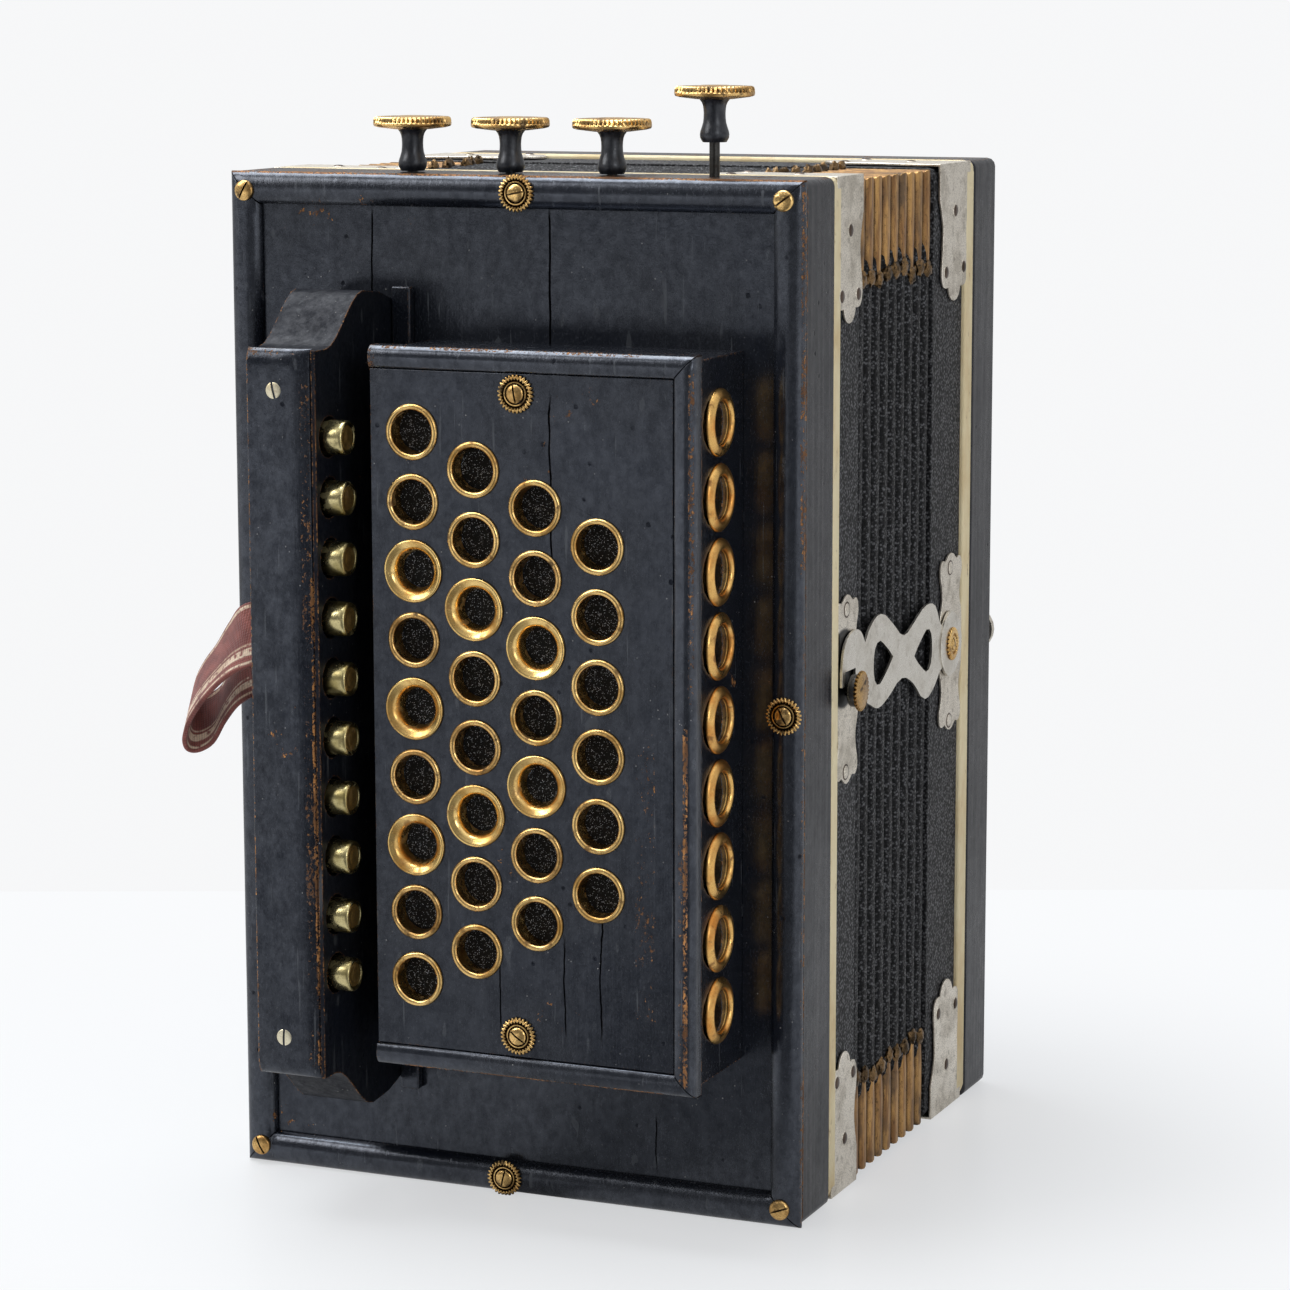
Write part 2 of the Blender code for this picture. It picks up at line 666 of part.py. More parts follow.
def make_treble_keys():
    """Build one key about its axle, with button, lever and pallet, and repeat it."""
    half = LEVER_WIDTH / 2
    reach = BUTTON_OUT - AXLE_OUT
    lever_x = (0.2 * MM, 0.2 * MM + LEVER_THICKNESS)
    button_x = (lever_x[1] - OVERLAP, BOARD_RIGHT - AXLE_X + BUTTON_PROTRUSION)
    pallet_x = (PALLET_X[0] - AXLE_X, PALLET_X[1] - AXLE_X)
    middle = sum(pallet_x) / 2
    pallet_y = (AXLE_OUT - PALLET_GAP - PALLET_THICKNESS, AXLE_OUT - PALLET_GAP + GAP)
    arm_y = (-LEVER_THICKNESS / 2, LEVER_THICKNESS / 2)

    shape = rod_shape(
        (sum(button_x) / 2, -reach, 0), BUTTON_RADIUS, button_x[1] - button_x[0], "X", 16
    )
    round_edges(shape, lambda edge: lies_at(edge, 0, button_x[1]), 0.7 * MM, 1)
    button = finish("key_button", shape)
    lever = block("key_lever", lever_x, (-reach - half, 0), (-half, half))
    hub = rod("key_hub", (0, 0, 0), HUB_RADIUS, LEVER_WIDTH, "Z", sides=12)
    arm = block("key_arm", (0, middle + half), arm_y, (-half, half))
    post = block(
        "key_post", (middle - half, middle + half), (arm_y[0], pallet_y[0] + OVERLAP), (-half, half)
    )
    bore = rod("key_bore", (0, 0, 0), AXLE_RADIUS + RUNNING, LEVER_WIDTH + THROUGH, "Z", sides=12)
    pallet = block(
        "key_pallet", pallet_x, pallet_y, (-PALLET_WIDTH / 2, PALLET_WIDTH / 2), BRASS
    )
    join(pallet, post, arm, hub, lever, button)
    cut(pallet, bore)
    mesh = mesh_of(pallet)
    mesh.name = "treble_key"
    for number, z in enumerate(KEY_Z, 1):
        key = add_object(f"treble_key_{number}", mesh, BRASS)
        key.location = (AXLE_X, out(AXLE_OUT), z)


def box_outline(left, right, z, wall):
    """Return a rectangle's rim that is open on its left."""
    return [
        (left, z[0]),
        (right, z[0]),
        (right, z[1]),
        (left, z[1]),
        (left, z[1] - wall),
        (right - wall, z[1] - wall),
        (right - wall, z[0] + wall),
        (left, z[0] + wall),
    ]


def eyelet_places():
    """Return the X and Z of the eyelets in the front panel."""
    places = []
    for column, count in enumerate(EYELET_ROWS):
        x = EYELET_FIRST_X + column * EYELET_SPACING_X
        for row in range(count):
            places.append((x, EYELET_CENTRE_Z + EYELET_PITCH * ((count - 1) / 2 - row)))
    return places


def eyelets_on_cloth(name, profile, places, axis, cloth):
    """Set eyelets, turned from one profile, on the cloth behind them as one solid."""
    ring = turned("eyelet", profile, (0, 0, 0), axis, EYELET_SIDES, closed=True)
    shape = bmesh.new()
    for place in places:
        before = len(shape.verts)
        shape.from_mesh(ring.data)
        shape.verts.ensure_lookup_table()
        bmesh.ops.translate(shape, verts=shape.verts[before:], vec=place)
    bpy.data.objects.remove(ring)
    join(cloth, finish(name + "_rings", shape))


def make_grille_box():
    """Build the box over the pallets with its panel, moulding, eyelets and cloth."""
    box = finish(
        "grille_box",
        plate_shape(
            [box_outline(BOX_LEFT, BOX_RIGHT, BOX_Z, BOX_WALL)], (out(BOX_OUT), out(0)), FACING_FRONT
        ),
        EBONISED,
    )
    side_z = [
        SIDE_EYELET_CENTRE_Z + SIDE_EYELET_PITCH * ((SIDE_EYELETS - 1) / 2 - i)
        for i in range(SIDE_EYELETS)
    ]
    for number, z in enumerate(side_z, 1):
        hole = rod(
            f"side_hole_{number}",
            (BOX_RIGHT - BOX_WALL / 2, out(SIDE_EYELET_OUT), z),
            SIDE_EYELET_TUBE + GAP,
            BOX_WALL + 2 * THROUGH,
            "X",
            sides=12,
        )
        cut(box, hole)

    moulding_back = BOX_OUT + GAP
    right = BOX_RIGHT + GRILLE_MOULDING_OVERHANG
    z = (BOX_Z[0] - GRILLE_MOULDING_OVERHANG, BOX_Z[1] + GRILLE_MOULDING_OVERHANG)
    front = out(moulding_back + GRILLE_MOULDING_THICKNESS)
    outline = box_outline(BOX_LEFT, right, z, GRILLE_MOULDING_WIDTH)
    shape = plate_shape([outline], (front, out(moulding_back)), FACING_FRONT)
    round_edges(
        shape,
        lambda edge: lies_at(edge, 1, front) and is_corner(edge) and not lies_at(edge, 0, BOX_LEFT),
        GRILLE_MOULDING_ROUND,
        3,
    )
    finish("grille_moulding", shape, EBONISED)

    panel_x = (BOX_LEFT, right - GRILLE_MOULDING_WIDTH - GAP)
    inset = GRILLE_MOULDING_WIDTH + GAP
    panel_z = (z[0] + inset, z[1] - inset)
    panel_y = (out(moulding_back + PANEL_THICKNESS), out(moulding_back))
    places = eyelet_places()
    outlines = [rectangle(panel_x, panel_z)]
    for place in places:
        outlines.append(circle(place, EYELET_TUBE + GAP, EYELET_SIDES))
    finish("grille_panel", plate_shape(outlines, panel_y, FACING_FRONT), EBONISED)

    cloth_y = (out(BOX_OUT - CLOTH_MARGIN), out(BOX_OUT - CLOTH_MARGIN - CLOTH_THICKNESS))
    cloth = block(
        "front_eyelets",
        (BOX_LEFT, BOX_RIGHT - BOX_WALL - GAP),
        cloth_y,
        (BOX_Z[0] + BOX_WALL + GAP, BOX_Z[1] - BOX_WALL - GAP),
        BRASS,
    )
    depth = cloth_y[0] - panel_y[0] + OVERLAP
    profile = [
        (EYELET_BORE, depth + GAP + EYELET_LIP),
        (EYELET_FLANGE, depth + GAP),
        (EYELET_TUBE, depth + GAP),
        (EYELET_TUBE, 0),
        (EYELET_BORE, 0),
    ]
    profile = [(radius, -height) for radius, height in reversed(profile)]
    spots = [(x, cloth_y[0] + OVERLAP, place_z) for x, place_z in places]
    eyelets_on_cloth("front_eyelets", profile, spots, "Y", cloth)

    cloth_x = BOX_RIGHT - BOX_WALL - GAP
    cloth = block(
        "side_eyelets",
        (cloth_x - CLOTH_THICKNESS, cloth_x),
        (cloth_y[1] + GAP, out(PLINTH_HEIGHT)),
        (BOX_Z[0] + BOX_WALL + GAP, BOX_Z[1] - BOX_WALL - GAP),
        BRASS,
    )
    depth = BOX_WALL + GAP + OVERLAP
    profile = [
        (SIDE_EYELET_FLANGE - EYELET_LIP, depth + GAP + SIDE_EYELET_FLARE),
        (SIDE_EYELET_FLANGE, depth + GAP + SIDE_EYELET_FLARE),
        (SIDE_EYELET_TUBE, depth + GAP),
        (SIDE_EYELET_TUBE, 0),
        (SIDE_EYELET_BORE, 0),
        (SIDE_EYELET_BORE, depth + GAP),
    ]
    spots = [(cloth_x - OVERLAP, out(SIDE_EYELET_OUT), place_z) for place_z in side_z]
    eyelets_on_cloth("side_eyelets", profile, spots, "X", cloth)


def make_stops():
    """Build each stop: a turned stem on a rod with its slider, and a brass disc on top."""
    height = STOP_STEM_HEIGHT
    profile = [
        (0, height),
        (STOP_STEM_RADIUS, height),
        (STOP_STEM_RADIUS * 0.97, height * 0.7),
        (STOP_BULB_RADIUS * 0.93, height * 0.42),
        (STOP_BULB_RADIUS, height * 0.22),
        (STOP_BULB_RADIUS * 0.85, GAP),
        (STOP_ROD_RADIUS, GAP),
        (STOP_ROD_RADIUS, -STOP_ROD_LENGTH),
        (0, -STOP_ROD_LENGTH),
    ]
    low = height + GAP
    high = low + STOP_CAP_THICKNESS
    cap_profile = [
        (0, high),
        (STOP_CAP_RADIUS - 1.4 * MM, high),
        (STOP_CAP_RADIUS, high - 0.6 * MM),
        (STOP_CAP_RADIUS, low + 0.8 * MM),
        (STOP_CAP_RADIUS - 0.8 * MM, low),
        (0, low),
    ]
    for number, (x, pulled) in enumerate(zip(STOP_X, STOP_PULLED), 1):
        top = CASE_HEIGHT + (STOP_TRAVEL if pulled else 0)
        knob = turned(f"stop_knob_{number}", profile, (x, 0, top), sides=16, material=EBONISED)
        low_z = top - STOP_ROD_LENGTH - STOP_SLIDER[2] + OVERLAP
        slider = block(
            f"slider_{number}",
            (x - STOP_SLIDER[0] / 2, x + STOP_SLIDER[0] / 2),
            (-STOP_SLIDER[1] / 2, STOP_SLIDER[1] / 2),
            (low_z, low_z + STOP_SLIDER[2]),
        )
        join(knob, slider)
        cap = turned(f"stop_cap_{number}", cap_profile, (x, 0, top), sides=24, material=BRASS)
        hang_on(joint_empty(f"stop_{number}_slide", (x, 0, top)), knob, cap)


def make_reed_blocks():
    """Build the blocks that carry the reeds, with a chamber under every sound hole."""
    y = (COVER_BACK + GAP, COVER_BACK + GAP + REED_BLOCK_DEPTH)
    ends = KEY_PITCH / 2 + REED_BLOCK_MARGIN
    reed_block = block("treble_reed_block", REED_BLOCK_X, y, (KEY_Z[-1] - ends, KEY_Z[0] + ends), BARE_WOOD)
    sound_x = (PALLET_X[0] + SOUND_HOLE_MARGIN, PALLET_X[1] - SOUND_HOLE_MARGIN)
    for number, z in enumerate(KEY_Z, 1):
        chamber = block(
            f"chamber_{number}",
            sound_x,
            (y[0] - THROUGH, y[0] + REED_CHAMBER_DEPTH),
            (z - REED_CHAMBER_WIDTH / 2, z + REED_CHAMBER_WIDTH / 2),
        )
        cut(reed_block, chamber)

    y = (PAN_Y[0] - GAP - BASS_REED_BLOCK_DEPTH, PAN_Y[0] - GAP)
    reed_block = block("bass_reed_block", BASS_REED_BLOCK_X, y, BASS_REED_BLOCK_Z, BARE_WOOD)
    pitch = (BASS_REED_BLOCK_Z[1] - BASS_REED_BLOCK_Z[0]) / BASS_CHAMBERS
    wall = (BASS_REED_BLOCK_X[1] - BASS_REED_BLOCK_X[0]) / 8
    for number in range(BASS_CHAMBERS):
        z = BASS_REED_BLOCK_Z[0] + pitch * (number + 0.5)
        chamber = block(
            f"bass_chamber_{number + 1}",
            (BASS_REED_BLOCK_X[0] + wall, BASS_REED_BLOCK_X[1] - wall),
            (y[1] - BASS_REED_BLOCK_DEPTH * 0.8, y[1] + THROUGH),
            (z - BASS_CHAMBER_WIDTH / 2, z + BASS_CHAMBER_WIDTH / 2),
        )
        cut(reed_block, chamber)


def ring_points(half, low, high, corner):
    """Return the X and Z of a rectangle with cut corners, point by point round it."""
    return [
        (corner - half, low),
        (half - corner, low),
        (half, low + corner),
        (half, high - corner),
        (half - corner, high),
        (corner - half, high),
        (-half, high - corner),
        (-half, low + corner),
    ]


def make_bellows():
    """Build the pleated bellows, a closed skin from frame to frame."""
    half_fold = [
        (0.05, FOLD_DEPTH, VALLEY_CORNER),
        (0.16, RIDGE_ROUND, RIDGE_CORNER),
        (0.34, 0, RIDGE_CORNER),
    ]
    fold = half_fold + [(1 - share, depth, corner) for share, depth, corner in reversed(half_fold)]
    rings = [(i + share, depth, corner) for i in range(BELLOWS_FOLDS) for share, depth, corner in fold]
    rings[0] = (0, FRAME_WALL / 2, RIDGE_CORNER)
    rings[-1] = (BELLOWS_FOLDS, FRAME_WALL / 2, RIDGE_CORNER)
    shape = bmesh.new()
    loops = []
    for share, depth, corner in rings:
        y = BELLOWS_Y[0] + (BELLOWS_Y[1] - BELLOWS_Y[0]) * share / BELLOWS_FOLDS
        inset = BELLOWS_INSET + depth
        points = ring_points(CASE_HALF - inset, inset, CASE_HEIGHT - inset, corner)
        verts = [shape.verts.new((x, y, z)) for x, z in points]
        loops.append([shape.edges.new((a, b)) for a, b in zip(verts, verts[1:] + verts[:1])])
    for first, second in zip(loops, loops[1:]):
        bmesh.ops.bridge_loops(shape, edges=first + second)
    bellows = finish("bellows", shape, BLACK_CLOTH)
    shell = bellows.modifiers.new("thickness", "SOLIDIFY")
    shell.thickness = BELLOWS_WALL
    shell.offset = -1
    shell.use_even_offset = False


def corner_plate_outline(half, waist, lobe):
    """Return a corner plate's half outline, from the fold to the tip of its drop."""
    drop = PLATE_DROP
    return [
        (half, drop * 0.24, 0),
        (waist, drop * 0.43),
        (waist, drop * 0.55),
        (lobe * 0.95, drop * 0.68),
        (lobe, drop * 0.80),
        (lobe * 0.82, drop * 0.89),
        (lobe * 0.46, drop * 0.895, 0),
        (lobe * 0.34, drop * 0.96),
        (0, drop),
    ]


def corner_plate(name, middle, halves, side, end):
    """Bend a flat plate round one corner of a bellows frame."""
    leg = corner_plate_outline(*halves)
    down = leg + [(-point[0], *point[1:]) for point in reversed(leg[:-1])]
    up = [(-point[0], -point[1], *point[2:]) for point in down]
    shape = outline_shape([down + up], 0, smooth=True, steps=2)
    bmesh.ops.bisect_plane(
        shape,
        geom=shape.verts[:] + shape.edges[:] + shape.faces[:],
        plane_co=(0, 0, 0),
        plane_no=(0, 1, 0),
    )
    face = FRAME_HALF + GAP
    level = FRAME_Z[1] + GAP if end > 0 else FRAME_Z[0] - GAP
    for vert in shape.verts:
        across, along = vert.co.x, vert.co.y
        if along > 0:
            vert.co = (side * face, middle + across, level - end * along)
        else:
            vert.co = (side * (face + along), middle + across, level)
    weld(shape)
    bmesh.ops.recalc_face_normals(shape, faces=shape.faces)
    outer = max(shape.faces, key=lambda shape_face: abs(shape_face.normal.x))
    if outer.normal.x * side < 0:
        bmesh.ops.reverse_faces(shape, faces=shape.faces)
    mesh = bpy.data.meshes.new(name)
    shape.to_mesh(mesh)
    shape.free()
    thicken(add_object(name, mesh, NICKEL), PLATE_THICKNESS, 1)


def make_bellows_frames():
    """Build the frames, seals and corner plates at both ends of the bellows."""
    for end, frame_y, seal_y, plate_y, plate_halves in (
        ("treble", TREBLE_FRAME_Y, SEAL_Y, TREBLE_PLATE_FROM_CASE, TREBLE_PLATE_HALF),
        ("bass", BASS_FRAME_Y, BASS_SEAL_Y, BASS_PLATE_FROM_CASE, BASS_PLATE_HALF),
    ):
        name = f"{end}_bellows_frame"
        frame = rim(name, FRAME_HALF, FRAME_Z, frame_y, FRAME_WALL, CASE_CORNER, BLACK_CLOTH)
        pin_y = STUD_Y if end == "treble" else PIVOT_Y
        radius = STUD_NECK_RADIUS if end == "treble" else PIVOT_SHANK_RADIUS
        seat = rod(
            f"{end}_pin_seat",
            (FRAME_HALF, pin_y, LATCH_Z),
            radius + GAP,
            2 * (SHANK_DEPTH + GAP),
            "X",
        )
        cut(frame, seat)
        rim(f"{end}_seal", FRAME_HALF, FRAME_Z, seal_y, FRAME_WALL, CASE_CORNER, SEAL_LEATHER)
        number = 0
        for side in (-1, 1):
            for level in (1, -1):
                number += 1
                name = f"{end}_corner_plate_{number}"
                corner_plate(name, CASE_BACK + plate_y, plate_halves, side, level)


def strap_plate(name, half, y, z, hole_radius):
    """Make a nailed plate with lobed ends on the right side."""
    width, height = half
    quarter = [
        (width, 0),
        (width, height * 0.30),
        (width * 0.80, height * 0.48),
        (width * 0.84, height * 0.64),
        (width, height * 0.80),
        (width * 0.84, height * 0.93),
        (width * 0.50, height * 0.92, 0),
        (0, height),
    ]
    right = quarter + [(-point[0], *point[1:]) for point in reversed(quarter[:-1])]
    lower = [(-point[0], -point[1], *point[2:]) for point in right[1:-1]]
    outline = [(y + point[0], z + point[1], *point[2:]) for point in right + lower]
    shape = plate_shape([outline], (SIDE_FACE, SIDE_FACE + PLATE_THICKNESS), FACING_SIDE, smooth=True)
    plate = finish(name, shape, NICKEL)
    hole_y = STUD_Y if name == "latch_keeper" else PIVOT_Y
    hole = rod(name + "_hole", (SIDE_FACE, hole_y, LATCH_Z), hole_radius, 4 * PLATE_THICKNESS, "X")
    return cut(plate, hole)


def hook_outline():
    """Return the hook's outline, its disc about the pivot and its slot over the stud."""
    pivot = (PIVOT_Y, LATCH_Z)
    start = math.radians(140)
    disc = []
    for i in range(8):
        angle = -start + 2 * start * i / 7
        disc.append(
            (pivot[0] + HOOK_DISC_RADIUS * math.cos(angle), pivot[1] + HOOK_DISC_RADIUS * math.sin(angle))
        )
    slot = STUD_COLLAR_RADIUS - 0.4 * MM
    slot_top = LATCH_Z + STUD_NECK_RADIUS + HOOK_LIFT
    lip_low = LATCH_Z + STUD_NECK_RADIUS + GAP
    lip_y = STUD_Y - slot - LIP_WIDTH
    middle = (STUD_Y + PIVOT_Y) / 2 + 2 * MM
    upper = [
        (middle + 27.5 * MM, LATCH_Z + 13.5 * MM),
        (middle + 19.5 * MM, LATCH_Z + 14.8 * MM),
        (middle + 9 * MM, LATCH_Z + 11.4 * MM),
        (middle - 0.5 * MM, LATCH_Z + 8.8 * MM),
        (middle - 10 * MM, LATCH_Z + 13.6 * MM),
        (middle - 20.5 * MM, LATCH_Z + 18 * MM),
        (middle - 29 * MM, LATCH_Z + 15.6 * MM),
        (middle - 33.5 * MM, LATCH_Z + 11.6 * MM, 0),
        (middle - 37.5 * MM, LATCH_Z + 15.6 * MM),
        (middle - 43 * MM, LATCH_Z + 16.4 * MM),
        (middle - 50 * MM, LATCH_Z + 13.2 * MM),
        (lip_y, slot_top, 0),
        (lip_y, lip_low, 0),
        (lip_y + LIP_WIDTH, lip_low, 0),
        (lip_y + LIP_WIDTH, slot_top, 0),
        (STUD_Y + slot, slot_top, 0),
        (STUD_Y + slot, LATCH_Z - 3 * MM, 0),
    ]
    lower = [
        (middle - 35.5 * MM, LATCH_Z - 4.6 * MM),
        (middle - 29 * MM, LATCH_Z - 7 * MM),
        (middle - 22.5 * MM, LATCH_Z - 9 * MM),
        (middle - 14 * MM, LATCH_Z - 7.4 * MM),
        (middle - 2 * MM, LATCH_Z - 3.6 * MM),
        (middle + 8 * MM, LATCH_Z - 6.6 * MM),
        (middle + 19 * MM, LATCH_Z - 13.2 * MM),
        (middle + 27.5 * MM, LATCH_Z - 10.6 * MM),
    ]
    windows = []
    for point_y, far_y in ((middle - 9.7 * MM, middle - 26.4 * MM), (middle + 8.8 * MM, middle + 25 * MM)):
        near = (point_y * 2 + far_y) / 3
        flat = (point_y + far_y * 5) / 6
        rise = LATCH_Z + (4 * MM if far_y < point_y else 1.2 * MM)
        windows.append(
            [
                (point_y, rise, 0),
                (near, rise + 3.6 * MM),
                (flat, rise + 6 * MM),
                (far_y, rise),
                (flat, rise - 6 * MM),
                (near, rise - 3.6 * MM),
            ]
        )
    return disc + upper + lower, windows


def make_latch():
    """Build the hook, the plates that carry it and its stud, and its two pins."""
    strap_plate(
        "latch_keeper",
        KEEPER_HALF,
        CASE_BACK + TREBLE_PLATE_FROM_CASE,
        LATCH_Z,
        STUD_NECK_RADIUS + GAP,
    )
    strap_plate(
        "latch_plate",
        LATCH_PLATE_HALF,
        CASE_BACK + BASS_PLATE_FROM_CASE,
        LATCH_Z,
        PIVOT_SHANK_RADIUS + GAP,
    )
    outline, windows = hook_outline()
    shape = plate_shape([outline] + windows, (HOOK_X, HOOK_FACE), FACING_SIDE, smooth=True)
    hook = finish("latch_hook", shape, NICKEL)
    cut(
        hook,
        rod("hook_bore", (HOOK_X, PIVOT_Y, LATCH_Z), PIVOT_SHANK_RADIUS + RUNNING, 4 * PLATE_THICKNESS, "X"),
    )
    set_origin(hook, (HOOK_X, PIVOT_Y, LATCH_Z))

    head = HOOK_FACE + GAP
    inner = FRAME_HALF - SHANK_DEPTH
    profile = [
        (0, head + STUD_COLLAR + STUD_HEAD),
        (STUD_HEAD_RADIUS - 0.5 * MM, head + STUD_COLLAR + STUD_HEAD),
        (STUD_HEAD_RADIUS, head + STUD_COLLAR + STUD_HEAD * 0.6),
        (STUD_HEAD_RADIUS, head + STUD_COLLAR),
        (STUD_COLLAR_RADIUS, head + STUD_COLLAR),
        (STUD_COLLAR_RADIUS, head),
        (STUD_NECK_RADIUS, head),
        (STUD_NECK_RADIUS, inner),
        (0, inner),
    ]
    turned("latch_stud", profile, (0, STUD_Y, LATCH_Z), "X", 20, BRASS)
    profile = [
        (0, head + PIVOT_HEAD),
        (PIVOT_HEAD_RADIUS * 0.7, head + PIVOT_HEAD * 0.9),
        (PIVOT_HEAD_RADIUS, head + PIVOT_HEAD * 0.4),
        (PIVOT_HEAD_RADIUS, head),
        (PIVOT_SHANK_RADIUS, head),
        (PIVOT_SHANK_RADIUS, inner),
        (0, inner),
    ]
    turned("latch_pivot_screw", profile, (0, PIVOT_Y, LATCH_Z), "X", 20, BRASS)


def make_thumb_strap():
    """Build the ribbon loop from its lower edge and the way to its upper edge, placed by hand.

    Each lower edge point is its distance from the board, its distance out from the cover's
    foot plane and its height. The direction to the upper edge follows it.
    """
    wall = BOARD_RIGHT - BOARD_WIDTH - STRAP_SEAT_GAP
    route = [
        ((0, 41.5, 156.5), (0, 0.45, 0.89)),
        ((4.4, 41.9, 155), (-0.25, 0.42, 0.87)),
        ((9.4, 42.1, 153), (-0.36, 0.66, 0.66)),
        ((14.4, 42, 149.3), (-0.38, 0.78, 0.50)),
        ((19.9, 41.3, 143.8), (-0.32, 0.79, 0.52)),
        ((24.9, 39.3, 137.8), (-0.26, 0.78, 0.57)),
        ((28.1, 36.8, 132), (-0.22, 0.76, 0.61)),
        ((28.2, 34.7, 128.6), (-0.14, 0.68, 0.72)),
        ((25.6, 33, 128.2), (-0.10, 0.62, 0.78)),
        ((21.7, 31.9, 130.8), (-0.10, 0.58, 0.81)),
        ((17.4, 32.5, 137.2), (-0.12, 0.56, 0.82)),
        ((12.4, 32.5, 142.8), (-0.14, 0.54, 0.83)),
        ((6.4, 29.5, 146), (-0.08, 0.50, 0.86)),
        ((0, 26, 148), (0, 0.45, 0.89)),
    ]
    half = STRAP_WIDTH / 2
    centres = []
    widths = []
    for (away, distance, height), way in route:
        direction = Vector(way).normalized()
        lower = Vector((wall - away * MM, out(distance * MM), height * MM))
        centres.append(lower + direction * half)
        widths.append(direction * half)
    strap = finish("thumb_strap", strip_shape(centres, widths), WOVEN_STRAP)
    thicken(strap, STRAP_THICKNESS, 0)


def make_bass_case():
    """Build the bass rim, the valve board inside it and the cover on its back."""
    rim("bass_case", CASE_HALF, (0, CASE_HEIGHT), BASS_CASE_Y, CASE_WALL, CASE_CORNER, EBONISED)
    margin = SOUND_HOLE_MARGIN
    outlines = [rectangle(INNER_X, INNER_Z), circle((AIR_KEY_X, AIR_KEY_Z), AIR_HOLE_RADIUS, 16)]
    for z in BASS_KEY_Z:
        width = BASS_PALLET_WIDTH - 2 * margin
        hole_x = (BASS_PALLET_X[0] + margin, BASS_PALLET_X[1] - margin)
        outlines.append(rectangle(hole_x, (z - width / 2, z + width / 2)))
    pan = finish("bass_pan", plate_shape(outlines, PAN_Y, FACING_FRONT), BARE_WOOD)
    axle_y = PAN_Y[1] + BASS_AXLE_HEIGHT
    upper, lower = BASS_KEY_Z
    away = (upper - lower) / 2
    posts = (upper + away, (upper + lower) / 2, lower - away)
    for number, z in enumerate(posts, 1):
        post = block(
            f"axle_post_{number}",
            BASS_POST_X,
            (PAN_Y[1] - OVERLAP, axle_y + 2 * BASS_AXLE_RADIUS),
            (z - BASS_POST_WIDTH / 2, z + BASS_POST_WIDTH / 2),
        )
        join(pan, post)
    length = posts[0] - posts[2] + BASS_POST_WIDTH
    axle_place = (BASS_AXLE_X, axle_y, posts[1])
    cut(pan, rod("bass_axle_bore", axle_place, BASS_AXLE_RADIUS + RUNNING, length + THROUGH, "Z"))
    rod("bass_key_axle", axle_place, BASS_AXLE_RADIUS, length, "Z", STEEL)

    outlines = [
        rectangle(INNER_X, INNER_Z),
        circle((AIR_KEY_X, AIR_KEY_Z), AIR_STEM_RADIUS + RUNNING, 16),
    ]
    for z in BASS_KEY_Z:
        outlines.append(rectangle(BASS_SLOT_X, (z - BASS_SLOT_WIDTH / 2, z + BASS_SLOT_WIDTH / 2)))
    finish("bass_cover", plate_shape(outlines, BASS_COVER_Y, FACING_FRONT), EBONISED)


def make_bass_keys():
    """Build the two bass keys, levers with a spoon outside and a pallet inside."""
    axle_y = PAN_Y[1] + BASS_AXLE_HEIGHT
    half = BASS_KEY_WIDTH / 2
    plate = (-BASS_KEY_PLATE / 2, BASS_KEY_PLATE / 2)
    spoon_low = BASS_CASE_Y[1] + BASS_KEY_LIFT - axle_y
    spoon_y = (spoon_low, spoon_low + BASS_KEY_PLATE)
    riser_x = (BASS_RISER_X[0] - BASS_AXLE_X, BASS_RISER_X[1] - BASS_AXLE_X)
    pallet_x = (BASS_PALLET_X[0] - BASS_AXLE_X, BASS_PALLET_X[1] - BASS_AXLE_X)
    pallet_low = GAP - BASS_AXLE_HEIGHT
    for number, (z, tip) in enumerate(zip(BASS_KEY_Z, BASS_KEY_TIP_X), 1):
        name = f"bass_key_{number}"
        pad_x = tip - BASS_KEY_RADIUS - BASS_AXLE_X
        pallet = block(
            name,
            pallet_x,
            (pallet_low, pallet_low + BASS_PALLET_THICKNESS),
            (-BASS_PALLET_WIDTH / 2, BASS_PALLET_WIDTH / 2),
            NICKEL,
        )
        pad = rod(
            name + "_pad",
            (pad_x, sum(spoon_y) / 2, 0),
            BASS_KEY_RADIUS,
            BASS_KEY_PLATE,
            "Y",
            sides=20,
        )
        join(
            pallet,
            block(name + "_lever", (pallet_x[0] + half, riser_x[1]), plate, (-half, half)),
            rod(name + "_hub", (0, 0, 0), 2.5 * BASS_AXLE_RADIUS, BASS_KEY_WIDTH, "Z"),
            block(name + "_riser", riser_x, (plate[0], spoon_y[1]), (-half, half)),
            block(name + "_arm", (riser_x[0], pad_x), spoon_y, (-half, half)),
            pad,
        )
        cut(pallet, rod(name + "_bore", (0, 0, 0), BASS_AXLE_RADIUS + RUNNING, 2 * BASS_KEY_WIDTH, "Z"))
        mesh = mesh_of(pallet)
        mesh.name = name
        key = add_object(name, mesh, NICKEL)
        key.location = (BASS_AXLE_X, axle_y, z)


